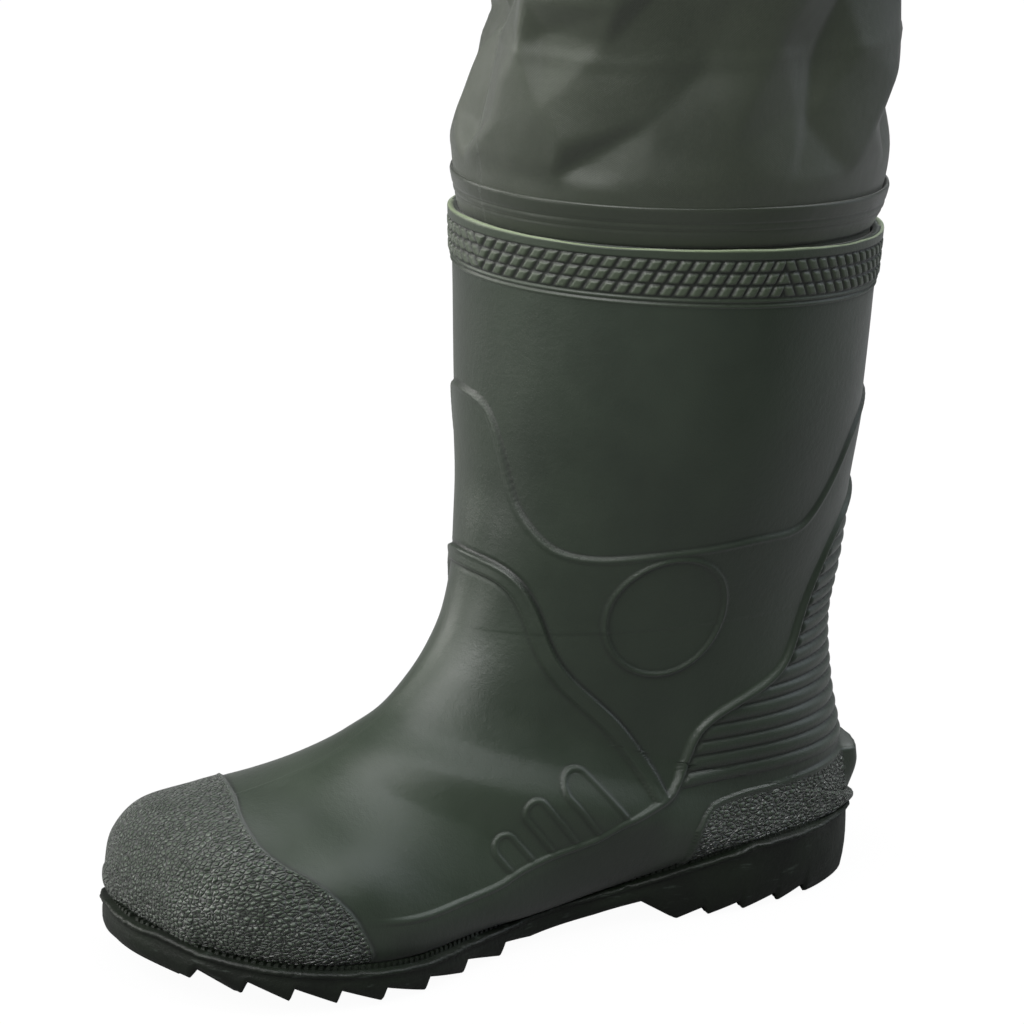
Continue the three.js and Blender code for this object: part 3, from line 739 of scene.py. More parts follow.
SEAT = [(3, 27), (22, 27), (70, 26), (125, 16), (175, 12), (222, 12), (260, 15), (285, 19),
        (300, 22), (307, 25)]


def seat_height(x):
    """Where the upper stands on the outsole."""
    return read(SEAT, x, 0, 1)


def foxing_shade(x, z):
    """The share of darker colour between the line along the foot and the welt."""
    line = read(FOOT_LINE, x)
    here = smooth(x, 106, 118) * smooth(238 - x, 0, 12)
    return 0.55 * smooth(line - 1.5 - z, 0, 5) * here


def boot_relief():
    """Height of the moulded features on the skin, the share of pebbled grain, and where shade is
    painted into grooves, creases and edges.
    """
    x, y, z = (SKIN[..., k] for k in range(3))
    relief = np.zeros(SKIN.shape[:2])

    # the stepped line round the shaft: everything below it stands a little proud
    whole = (STEP_LINE[::-1] + TONGUE_TOP[::-1] + OUTER_STEP_START
             + other_side(STEP_LINE[10:]))
    d, _ = Line(whole).distance(30)
    d = np.where(np.abs(d) > 100, 100, -d)
    fade = np.exp(-((np.clip(d, 0, None) / 26) ** 2))
    relief += 0.8 * smooth(d, -0.5, 0.5) * fade * (np.abs(d) < 90)
    relief += bead(d - 1.3, 1.4, 0.5) * (np.abs(d) < 90)
    # painted shade: darker colour in the crease at the step, and below it in the other grooves and
    # edges
    crease = bead(d + 0.6, 0.75, 0.75)

    # the raised band from the instep to the sole
    both = other_side(BAND_LINE)[::-1] + [(173, 0, 139.5)] + BAND_LINE
    d, _ = Line(both).distance()
    height = 1.15 * smooth(3.3 - np.abs(d), 0, 1.0)
    relief = np.maximum(relief, 0) + height + bead(d + 2.3, 1.2, 0.4) - bead(d + 3.9, 1.0, 0.5)
    relief -= bead(d - 3.9, 1.0, 0.25)
    crease = np.maximum(crease, bead(d + 3.6, 1.0, 1.0))
    crease = np.maximum(crease, bead(d - 3.7, 0.9, 0.4))

    # the bead in front of the heel ribs, and on along the foot above the welt
    heel_edge = read(HEEL_LINE[::-1], z, 2, 0)
    behind = smooth(heel_edge - x, 2.0, 4.2)
    whole = FOOT_LINE[::-1] + HEEL_LINE[::-1] + other_side(HEEL_LINE + FOOT_LINE)
    d, share = Line(whole).distance()
    on_foot = smooth(x, 98, 126)
    ends = smooth(np.minimum(share, 1 - share), 0, 0.05)
    heel_bead = bead(d, 2.1 - 0.4 * on_foot, 1.9 - 0.9 * on_foot) * ends
    crease = np.maximum(crease * smooth(np.abs(d), 1.0, 2.2),
                        bead(d - 2.6, 1.1, 0.7) * (1 - on_foot))

    # the ribs round the heel
    grooves = np.array(RIB_GROOVES[::-1], float)
    rib = np.interp(z, grooves, np.arange(len(grooves))) % 1
    round_rib = 1.75 * np.sin(math.pi * rib) ** 0.55 - 0.35
    rows = (z > grooves[0]) & (z < grooves[-1])
    relief = np.where(rows, relief * (1 - behind) + round_rib * behind, relief)
    relief = np.maximum(relief, heel_bead)
    groove = np.clip(1 - np.minimum(rib, 1 - rib) / 0.16, 0, 1)
    crease = np.maximum(crease * (1 - 0.5 * behind), np.where(rows, groove * behind, 0))

    # the disc, the finger loops
    for sign in (1, -1):
        on_side = (sign * y) > 20
        r = np.hypot(x - DISC[0], z - DISC[1]) - DISC[2]
        relief = np.where(on_side, relief + bead(r, 1.2, 1.1), relief)
        crease = np.maximum(crease, np.where(on_side, bead(np.abs(r) - 1.5, 0.9, 0.45), 0))
        clear = smooth(z - read(FOOT_LINE, x), 0.5, 3.5)
        for cx, cz, radius in LOOPS:
            off = np.stack([x - cx, z - cz], -1)
            back = np.clip(-(off @ LOOP_AXIS), 0, 60)
            gap = np.hypot(*np.moveaxis(off + back[..., None] * LOOP_AXIS, -1, 0)) - radius
            ridge = bead(gap, 1.25, 0.85) * clear
            shade = bead(np.abs(gap) - 1.5, 0.9, 0.4) * clear
            crease = np.maximum(crease, np.where(on_side, shade, 0))
            pad = 0.35 * smooth(-gap, 0, 2) * clear
            relief = np.where(on_side, relief + ridge + pad, relief)

    # the toe cap
    d, _ = Line(TOE_CAP_LINE).distance(60)
    d = np.where(np.abs(d) > 900, np.where(x > 225, 60, 900), -d)
    ahead = smooth(d, -0.3, 0.8) * (np.abs(d) < 900)
    relief += (0.75 * ahead + bead(d - 0.9, 1.3, 0.3)) * smooth(z - seat_height(x), 0, 5)
    crease = np.maximum(crease, bead(d + 0.8, 1.1, 0.8))
    pebble = smooth(d, 0.6, 1.5) * (np.abs(d) < 900)

    # the pebbled patch on the heel, with a bead round it, and the spur above it
    top = read(PATCH_TOP, x, 0, 1)
    side = np.interp(-z, [-p[1] for p in PATCH_TOP[1:]], [p[0] for p in PATCH_TOP[1:]])
    inset = np.minimum(top - z, side - x)
    on_heel = x < 103
    relief = np.where(on_heel, relief * smooth(-inset, -1, 1) + 0.55 * smooth(inset, -0.6, 0.6),
                      relief)
    relief += np.where(on_heel, bead(inset - 0.9, 1.5, 0.55), 0)
    pebble = np.maximum(pebble, np.where(on_heel, smooth(inset, 2.0, 3.0), 0))
    low, high, half, reach = SPUR
    across = smooth(half + 3 - np.abs(y), 0, 6) * (x < 60)
    ledge = smooth(z, low - 6, high - 5) * smooth(high + 1.2 - z, 0, 2.6)
    relief += reach * across * ledge
    pebble *= 1 - smooth(across * ledge, 0.08, 0.3)
    crease = crease * np.where(on_heel, 1 - smooth(inset, -0.5, 0.5), 1)
    crease = np.maximum(crease, np.where(on_heel, bead(inset + 1.0, 1.3, 0.8), 0))

    # the parting line over the instep
    d, share = Line(SEAM_LINE).distance()
    relief += bead(d, 0.9, 0.22) * smooth(1 - share, 0, 0.3)
    # the foot's lowest edge lies in the shade of the line above it
    crease = np.maximum(crease, foxing_shade(x, z) * (1 - pebble))
    return relief, pebble, crease


boot_height, boot_pebble, boot_crease = boot_relief()
OUTSIDE = SKIN + SKIN_NORMALS * boot_height[..., None]
WALL = 3.0


def boot_upper():
    """The boot's skin with its relief, and its inside."""
    rings, size = OUTSIDE.shape[:2]
    inner_rows = sections_at(np.linspace(0, len(BOOT_SECTIONS) - 1.4, 42))
    inside = np.stack([ring_points(row, HALF_RING, WALL) for row in inner_rows])
    inside[:, :, 2] = np.maximum(inside[:, :, 2], 14)
    inside[0, :, 2] = SKIN[0, :, 2] - 0.5
    start = rings * size
    toe = start + len(inside) * size
    last = toe - size
    faces = [strip_faces(rings, size),
             strip_faces(len(inside), size, start=start, flip=True),
             ring_quads(size, (0, 1), (0, 0), (start, 0), (start, 1)),
             np.column_stack([ring_quads(size, (last, 0), (last, 1)), np.full(size, toe)])]
    points = np.vstack([OUTSIDE.reshape(-1, 3), inside.reshape(-1, 3),
                        inside[-1].mean(0, keepdims=True) + [[2, 0, 0]]])
    pebble, crease = np.zeros(len(points)), np.zeros(len(points))
    pebble[:start], crease[:start] = boot_pebble.ravel(), boot_crease.ravel()
    make_pair("boot_upper_moulding", boot_to_world(leaned_boot(points)), faces, RUBBER, "boot",
              ("boot_upper",), slot="boot_rubber", join=1e-7, at=points * MM, pebble=pebble,
              crease=crease)


boot_upper()

# ---- the cuff ------------------------------------------------------------------------------
CUFF_LOW, CUFF_BEADS_TOP = 243.6, 247.6
TILE_PITCH, TILE_ROWS = 5.3, 3
TILE_BAND = (247.9, 261.6)


def cuff():
    """The rim: two beads, the band of small tiles, and the trimmed pale edge."""
    half = 480
    rng = np.random.default_rng(5)
    heights = np.concatenate([np.linspace(CUFF_LOW, CUFF_BEADS_TOP, 11),
                              np.linspace(*TILE_BAND, 34), np.linspace(262, 264.6, 7)])
    rows = sections_at(np.clip((265 - heights) / 30, 0, 1))
    skin = np.stack([ring_points(row, half) for row in rows])[:, :-1]
    size = skin.shape[1]
    # distance round the ring from the middle of each side, positive to the front
    run = np.linalg.norm(np.roll(skin, -1, 1) - skin, axis=2)
    around = np.cumsum(run, 1) - run
    total = run.sum(1, keepdims=True)
    around = np.where(around < total / 2, around - total / 4, 3 * total / 4 - around)
    h = heights[:, None]
    out = np.full(skin.shape[:2], 0.35)
    out = np.where(h < CUFF_BEADS_TOP, bead(h - 244.9, 0.95, 0.75)
                   + bead(h - 246.8, 0.85, 0.95) - 0.1, out)
    low, high = TILE_BAND
    pitch = (high - low) / TILE_ROWS
    row = np.clip(np.floor((h - low) / pitch), 0, TILE_ROWS - 1)
    up = (h - low) / pitch - row
    lean = np.sign(around) * (up - 0.5) * 2.4
    turn = ((around + lean) / TILE_PITCH + 0.5 * (row % 2)) % 1
    tile = smooth(turn, 0.04, 0.24) * smooth(1 - turn, 0.10, 0.30)
    tile = tile * smooth(up, 0.03, 0.22) * smooth(1 - up, 0.03, 0.22)
    in_band = (h >= low) & (h <= high)
    out = np.where(in_band, 0.4 + 0.95 * tile, out)
    out = np.where(h > high, 1.15, out)
    trim = np.cumsum(rng.normal(0, 1, size))
    k = np.exp(-((np.arange(-30, 31) / 9.0) ** 2))
    wave = np.convolve(np.tile(trim - np.linspace(0, trim[-1], size), 3), k / k.sum(), "same")
    wave = wave[size : 2 * size]
    wave = 0.35 * (wave - wave.mean()) / wave.std()
    outward = unit(np.stack([*np.moveaxis(grid_normals(skin), -1, 0)[:2],
                             np.zeros(skin.shape[:2])], -1))
    outward *= np.sign((outward[:, :, :1] * (skin[:, :, :1] - SHAFT_X)
                        + outward[:, :, 1:2] * skin[:, :, 1:2]))
    outer = skin + outward * out[..., None]
    top, way = skin[-1], outward[-1]
    rim = []
    for off, rise in ((1.05, 0.55), (0.75, 0.85), (0.1, 0.75), (-0.7, 0.6), (-1.3, 0.0),
                      (-2.6, -2.0), (-2.8, -9), (-2.8, -20)):
        lift = rise + (wave if rise > 0.3 else 0)
        point = top + way * off
        point = point + np.array([0, 0, 1.0]) * np.asarray(lift).reshape(-1, 1)
        rim.append(point)
    under = skin[0] - outward[0] * 1.2
    rings = np.concatenate([under[None], outer, np.array(rim)])
    count = len(rings)
    wall = strip_faces(count, size, flip=True)
    last = (count - 1) * size
    close = ring_quads(size, (0, 1), (0, 0), (last, 0), (last, 1))
    trims = np.zeros((count, size))
    edge = 1 + len(outer)
    trims[edge : edge + 4] = np.array([0.55, 1, 1, 0.8])[:, None]
    trims[1:edge] = np.where(in_band, 0.1 * tile, 0.03)
    # painted shade: darker colour in the gaps between the tiles and in the groove between the two
    # beads
    dark = np.zeros((count, size))
    gaps = np.where(in_band, 1 - tile, 0)
    dark[1:edge] = np.maximum(gaps, bead(h - 245.9, 0.5, 0.8))
    points = rings.reshape(-1, 3)
    make_pair("boot_cuff", boot_to_world(leaned_boot(points)), [wall, close], RUBBER, "boot",
              slot="boot_rubber", at=points * MM, crease=dark.ravel(), trim=trims.ravel())


cuff()

# ---- the outsole ---------------------------------------------------------------------------
SOLE_OUTLINE = [
    (0, 0, 0), (6, 20, -18), (16, 33, -29), (40, 44, -39), (70, 47, -43), (98, 43, -46),
    (128, 37, -51), (158, 36, -57), (188, 43, -64), (216, 52, -68), (240, 55, -68),
    (264, 51, -63), (284, 43, -53), (298, 29, -40), (307, 10, -23), (310, -5, -5),
]
LUG_TIPS = [178, 199, 220, 240, 258, 275, 290, 302]
LUG_DEPTH = 4.5
HEEL_TIPS = [40, 55, 72, 87]
HEEL_NOTCH = 3.2
ARCH_THICKNESS = 9.5


def spring(x):
    """How far the toe turns up."""
    return 12 * (np.clip(x - 215, 0, None) / 95) ** 2


def tread():
    """The sole's lower edge as x and z, from the heel to the toe."""
    line = [(-5, 2.0), (6, 0.6), (20, 0)]
    for x in HEEL_TIPS:
        line += [(x, 0), (x + 1.6, HEEL_NOTCH)]
    line += [(100, 0), (114, seat_height(114) - ARCH_THICKNESS),
             (134, seat_height(134) - ARCH_THICKNESS),
             (162, seat_height(168) - ARCH_THICKNESS)]
    for tip in LUG_TIPS:
        line += [(tip - 1.6, spring(tip) + LUG_DEPTH), (tip, spring(tip))]
    line += [(316, spring(316) + 2)]
    return np.array(line, float)


def outsole():
    """The sole and its tread, from a wall on each side and strips between the two."""
    count = 560
    inner = [(x, y) for x, y, _ in SOLE_OUTLINE]
    outer = [(x, y) for x, _, y in SOLE_OUTLINE[1:-1]]
    loop = curve(inner + outer[::-1], 1601, closed=True)
    toe = loop[:, 0].argmax()
    halves = [resample(loop[: toe + 1], count), resample(loop[toe:][::-1], count)]
    ways = []
    for half, sign in zip(halves, (1, -1)):
        way = unit(np.gradient(half, axis=0))
        ways.append(np.stack([-way[:, 1], way[:, 0]], 1) * sign)
    for a, b in ((0, 0), (-1, -1)):
        end = unit(ways[0][a] + ways[1][b] + np.array([-1e-6 if a == 0 else 1e-6, 0]))
        ways[0][a] = ways[1][b] = end
    rng = np.random.default_rng(11)
    edge = tread()
    walls = []
    for half, way in zip(halves, ways):
        x = half[:, 0]
        top = seat_height(x) - 0.3
        low = np.interp(x, edge[:, 0], edge[:, 1])
        flash = 0.25 * np.convolve(rng.normal(0, 1, count + 8), np.ones(9) / 3, "valid")
        flash[0] = flash[-1] = 0
        rows = [(-10, top), (-3.2, top), (0.1, top), (0.9 + flash, top - 0.5),
                (1.1 + flash, top - 1.2), (0.8 + 0.5 * flash, top - 1.8), (0.1, top - 2.3),
                (0.0, top - 3.2)]
        span = (top - 3.2) - (low + 1.0)
        for share in (0.2, 0.4, 0.6, 0.8, 1.0):
            rows.append((0.5 * math.sin(share * 2.6) - 1.0 * share**3,
                         top - 3.2 - span * share))
        rows += [(-1.4, low + 0.35), (-2.4, low)]
        wall = []
        for off, height in rows:
            plan = half + way * np.reshape(off, (-1, 1) if np.ndim(off) else ())
            wall.append(np.column_stack([plan, height]))
        walls.append(np.array(wall))
    across = []
    steps = 26
    for share in np.linspace(0, 1, steps + 2)[1:-1]:
        plan = walls[0][-1][:, :2] * (1 - share) + walls[1][-1][:, :2] * share
        width = np.linalg.norm(walls[0][-1][:, :2] - walls[1][-1][:, :2], axis=1)
        inwards = np.minimum(share, 1 - share) * width
        shifted = plan[:, 0] + 0.32 * np.minimum(inwards, 34)
        low = np.interp(shifted, edge[:, 0], edge[:, 1])
        low = low - spring(shifted) + spring(plan[:, 0])
        arch = np.interp(plan[:, 0], edge[:, 0], edge[:, 1])
        in_arch = (plan[:, 0] > 100) & (plan[:, 0] < 168)
        low = np.where(in_arch, arch, low)
        middle = np.abs(share - 0.5) * width < 3.5
        low = np.where(middle & ~in_arch & (plan[:, 0] > 20) & (plan[:, 0] < 292), low + 2.4, low)
        across.append(np.column_stack([plan, low]))
    rings = np.concatenate([walls[0], np.array(across), walls[1][::-1]])
    rings = rings.transpose(1, 0, 2)
    size = rings.shape[1]
    points = rings.reshape(-1, 3)
    make_pair("outsole_tread", boot_to_world(points), [strip_faces(len(rings), size)], SOLE,
              "boot", ("outsole",), slot="sole_rubber", join=1e-5, at=points * MM)
    welt_teeth(halves, ways)


def welt_teeth(halves, ways):
    """Small square teeth on the welt, close to the upper."""
    blocks, quads = [], []
    for half, way in zip(halves, ways):
        length = step_lengths(half).sum()
        spots = resample(half, int(length / 2.7))[1:-1]
        line = resample(half - way * 3.1, int(length / 2.7))[1:-1]
        along = unit(np.gradient(line, axis=0))
        side = unit(spots - line)
        for p, t, s in zip(line, along, side):
            z = float(seat_height(p[0])) - 0.4
            first = len(blocks) * 8
            corner = []
            for height, grow in ((z, 1.0), (z + 1.5, 0.72)):
                for a, b in ((-1, -1), (1, -1), (1, 1), (-1, 1)):
                    q = p + t * a * 0.9 * grow + s * b * 1.15 * grow
                    corner.append((q[0], q[1], height))
            blocks.append(corner)
            turned = (0, 1, 2, 3) if t[0] * s[1] - t[1] * s[0] > 0 else (3, 2, 1, 0)
            a, b, c, d = (first + k for k in turned)
            quads += [(d, c, b, a), (a + 4, b + 4, c + 4, d + 4), (a, b, b + 4, a + 4),
                      (b, c, c + 4, b + 4), (c, d, d + 4, c + 4), (d, a, a + 4, d + 4)]
    points = np.array(blocks).reshape(-1, 3)
    make_pair("welt_teeth", boot_to_world(points), [np.array(quads)], SOLE, "boot",
              slot="sole_rubber", smooth_faces=False, at=points * MM)


outsole()
for side in SIDES:
    frame["nodes"][f"{side}_insole"].material_slots[0].material = FELT

# ---- cloth with creases ----------------------------------------------------------------------
def height_map(points, values, width, height, cols, rows, blur):
    """Flat facets between controls on a map that joins its left and right edges.

    Rows run over the height and columns over the width, all in millimetres.
    """
    points, values = np.asarray(points, float), np.asarray(values, float)
    wrapped, heights = [points], [values]
    for shift in (-width, width):
        near = np.abs(points[:, 0] + shift - width / 2) < width * 0.72
        wrapped.append(points[near] + [shift, 0])
        heights.append(values[near])
    spots, tops = np.vstack(wrapped), np.concatenate(heights)
    flat = [Vector(p) for p in spots]
    corners, _, triangles, origin, _, _ = delaunay_2d_cdt(flat, [], [], 0, 1e-4)
    corners = np.array([tuple(v) for v in corners])
    order = np.array([o[0] for o in origin])
    x = np.arange(cols) * width / cols
    z = np.linspace(0, height, rows)
    field = np.zeros((rows, cols))
    for triangle in triangles:
        p = corners[list(triangle)]
        h = tops[order[list(triangle)]]
        c0, c1 = np.searchsorted(x, [p[:, 0].min(), p[:, 0].max()])
        r0, r1 = np.searchsorted(z, [p[:, 1].min() - 1e-6, p[:, 1].max() + 1e-6])
        if c0 == c1 or r0 == r1:
            continue
        gx, gz = np.meshgrid(x[c0:c1], z[r0:r1])
        (ax, ay), (bx, by), (cx, cy) = p
        area = (bx - ax) * (cy - ay) - (cx - ax) * (by - ay)
        if abs(area) < 1e-9:
            continue
        v = ((gx - ax) * (cy - ay) - (cx - ax) * (gz - ay)) / area
        w = ((bx - ax) * (gz - ay) - (gx - ax) * (by - ay)) / area
        inside = (v >= -1e-9) & (w >= -1e-9) & (v + w <= 1 + 1e-9)
        found = h[0] + (h[1] - h[0]) * v + (h[2] - h[0]) * w
        part = field[r0:r1, c0:c1]
        part[inside] = found[inside]
    return blurred(field, blur * cols / width, blur * rows / height)


def blurred(field, across, along):
    """A soft copy of a map; its columns join up and its rows don't."""
    for sigma, axis in ((across, 1), (along, 0)):
        reach = max(1, int(3 * sigma))
        k = np.exp(-0.5 * (np.arange(-reach, reach + 1) / max(sigma, 1e-6)) ** 2)
        k /= k.sum()
        mode = "wrap" if axis == 1 else "edge"
        pads = [(0, 0), (0, 0)]
        pads[axis] = (reach, reach)
        wide = np.pad(field, pads, mode=mode)
        field = sum(weight * np.take(wide, range(i, i + field.shape[axis]), axis)
                    for i, weight in enumerate(k))
    return field


def creases(seed, width, height, cols, rows, spacing, depth, tall=1.0, placed=(), clear=None,
            blur=2.2):
    """A crumpled map: placed controls first, then seeded ones where there are none."""
    rng = np.random.default_rng(seed)
    points, values = [p[:2] for p in placed], [p[2] for p in placed]
    across, up = max(3, round(width / spacing)), max(1, round(height / (spacing * tall)))
    for j in range(up + 1):
        for i in range(across):
            x = (i + 0.5 * (j % 2) + rng.uniform(-0.32, 0.32)) * width / across % width
            z = np.clip((j + rng.uniform(-0.32, 0.32)) * height / up, 0, height)
            if j in (0, up):
                z = height * (j == up)
            value = rng.uniform(-1, 1) * depth
            if clear and clear(x, z):
                continue
            points.append((x, z))
            values.append(value)
    field = height_map(points, values, width, height, cols, rows, blur)
    fine = []
    for size, amount in ((14, 0.06), (7, 0.032)):
        raw = rng.normal(0, 1, (rows, cols))
        soft = blurred(raw, size * cols / width, size * 0.8 * rows / height)
        fine.append(amount * depth * soft / soft.std())
    return field + sum(fine)


# height, centre x, centre y, half depth, half width, turn-out in degrees
LEG_SECTIONS = np.array([
    [240, -190, 0, 79, 64.6, 30], [264, -190, 0, 79.6, 65.4, 30], [285, -190, 0, 83.5, 69.5, 30],
    [340, -188, 0, 83, 69, 28], [400, -181, 0, 87, 75, 20], [490, -167, 0, 95, 85, 8],
    [600, -141, 2, 106, 96, 0], [700, -113, 4, 117, 101, 0],
], float)
# height, half width, half depth, squareness
TORSO_SECTIONS = np.array([
    [785, 204, 146, 2.2], [850, 209, 149, 2.3], [930, 198, 136, 2.3], [1000, 201, 135, 2.4],
    [1100, 209, 141, 2.6], [1200, 215, 145, 2.6], [1310, 213, 144, 2.6],
], float)


def rows_at(table, z):
    """Rows of a table at heights, on smooth curves through its rows."""
    z = np.atleast_1d(np.asarray(z, float))
    i = np.clip(np.searchsorted(table[:, 0], z, side="right") - 1, 0, len(table) - 2)
    r0, r1 = table[i], table[i + 1]
    before, after = table[np.maximum(i - 1, 0)], table[np.minimum(i + 2, len(table) - 1)]
    step = (r1[:, :1] - r0[:, :1])
    t = (z[:, None] - r0[:, :1]) / step
    slope0 = (r1 - before) / (r1[:, :1] - before[:, :1]) * step
    slope1 = (after - r0) / (after[:, :1] - r0[:, :1]) * step
    return (r0 + (r1 - r0) * t * t * (3 - 2 * t) + t * (1 - t) ** 2 * slope0
            + t * t * (t - 1) * slope1)


def leg_rings(heights, angles):
    """Plain rings of the right leg."""
    rows = rows_at(LEG_SECTIONS, np.minimum(heights, LEG_SECTIONS[-1, 0]))[:, :, None]
    turn = np.radians(rows[:, 5])
    forward, inward = rows[:, 3] * np.cos(angles), rows[:, 4] * np.sin(angles)
    s, c = np.sin(turn), np.cos(turn)
    z = np.broadcast_to(np.reshape(heights, (-1, 1)), forward.shape)
    return np.stack([rows[:, 1] - s * forward + c * inward,
                     rows[:, 2] - c * forward - s * inward + MID_Y, z], -1)


def shell(outer, wall, every=4):
    """Closed cloth from rows of outer points: faces, points, and which lie inside."""
    rows, cols = outer.shape[:2]
    picks = sorted(set(range(0, rows, every)) | {rows - 1})
    inner = (outer - grid_normals(outer) * wall)[picks]
    inner[0, :, 2], inner[-1, :, 2] = outer[0, :, 2], outer[-1, :, 2]
    start = rows * cols
    end = start + (len(picks) - 1) * cols
    top = (rows - 1) * cols
    faces = [strip_faces(rows, cols), strip_faces(len(picks), cols, start=start, flip=True),
             ring_quads(cols, (0, 1), (0, 0), (start, 0), (start, 1)),
             ring_quads(cols, (top, 0), (top, 1), (end, 1), (end, 0))]
    points = np.vstack([outer.reshape(-1, 3), inner.reshape(-1, 3)])
    return points, faces, picks


def weave_of(outer, picks):
    """Distances round and up the cloth, for its weave."""
    rows, cols = outer.shape[:2]
    size = np.linalg.norm(np.roll(outer, -1, 1) - outer, axis=2).sum(1).mean()
    flat = weave_map(np.arange(cols) * size / cols, outer[..., 2])
    return np.vstack([flat, flat.reshape(rows, cols, 3)[picks].reshape(-1, 3)])


FABRIC_FOOT, KNEE_LOW, KNEE_HIGH, HIP_LOW, CROTCH, SEAT_TOP = 240, 385, 595, 625, 785, 930
LEG_SEAM = 610
WALL_OF_CLOTH = 2.2
LEG_GAP = 0.3  # from each leg's inside to the middle

# creases that show above the rim: degrees from the toe to the inner side, height, depth
SHIN_DEPTH = 2.9  # millimetres for a depth of 1
SHIN_CREASES = [
    # a soft flat ring just above the rim
    *[(a, 284, 0.4) for a in range(-170, 181, 20)],
    # the ridge between the bright plane and the one that faces the camera
    (10, 372, 3.2), (11, 350, 2.6), (13, 332, 2.2), (8, 318, 1.8), (6, 304, 1.4),
    # the hollow left of it, with a sharp fold across
    (-8, 374, -1.0), (-5, 356, -3.4), (-17, 336, -4.6), (-24, 322, -2.2), (-12, 312, -3.0),
    (-12, 296, -2.4), (-26, 375, 1.5), (-31, 340, -5.2), (-33, 303, -1.6), (-24, 300, -0.2),
    # the plane that faces the camera ends in a low ridge
    (34, 374, 2.6), (36, 352, 2.4), (36, 338, 1.4), (18, 338, 0.4), (22, 312, 2.2),
    (29, 300, 1.6), (31, 292, -0.6), (26, 288, 0.4),
    # the wide quiet plane
    (50, 366, -1.4), (66, 352, -1.8), (64, 330, -1.6), (52, 312, -0.2), (80, 372, -1.4),
    (84, 336, -1.4), (72, 300, -0.2), (92, 312, -1.6), (96, 372, -1.8),
    # the bright facet on the right and the bulge behind it
    (104, 352, -2.8), (98, 330, -3.0), (96, 306, -1.8), (120, 366, -1.2), (128, 344, 0.8),
    (126, 318, 1.8), (118, 300, 1.0), (138, 330, 0.6), (136, 300, -1.6), (112, 330, 0.2),
    # the edges of the view
    (142, 374, -4.4), (148, 355, -2.0), (156, 322, 0.4), (158, 298, -0.6), (168, 366, -1.5),
    (-44, 374, 0.6), (-46, 354, 0.4), (-48, 331, -2.6), (-47, 311, -2.7), (-46, 296, -0.8),
    (-66, 372, 0.4), (-68, 346, -0.6), (-70, 312, -1.5), (-88, 372, -1.2), (-90, 338, 0.4),
    (-92, 306, -0.6),
]


def rim_swell(z, angles):
    """The cloth stands out over the rim, most of all behind."""
    most = 0.5 + 1.2 * smooth(-np.cos(angles), -0.2, 0.9)
    return most * smooth(z, 264, 272) * (1 - smooth(z, 276, 300))


def from_inner(angles):
    """Angles counted from the inner side of the leg instead of from the toe."""
    return (angles - math.pi / 2 + math.pi) % (2 * math.pi) - math.pi


LEG_COLS = 300
LEG_ANGLES = np.linspace(0, 2 * math.pi, LEG_COLS, endpoint=False)


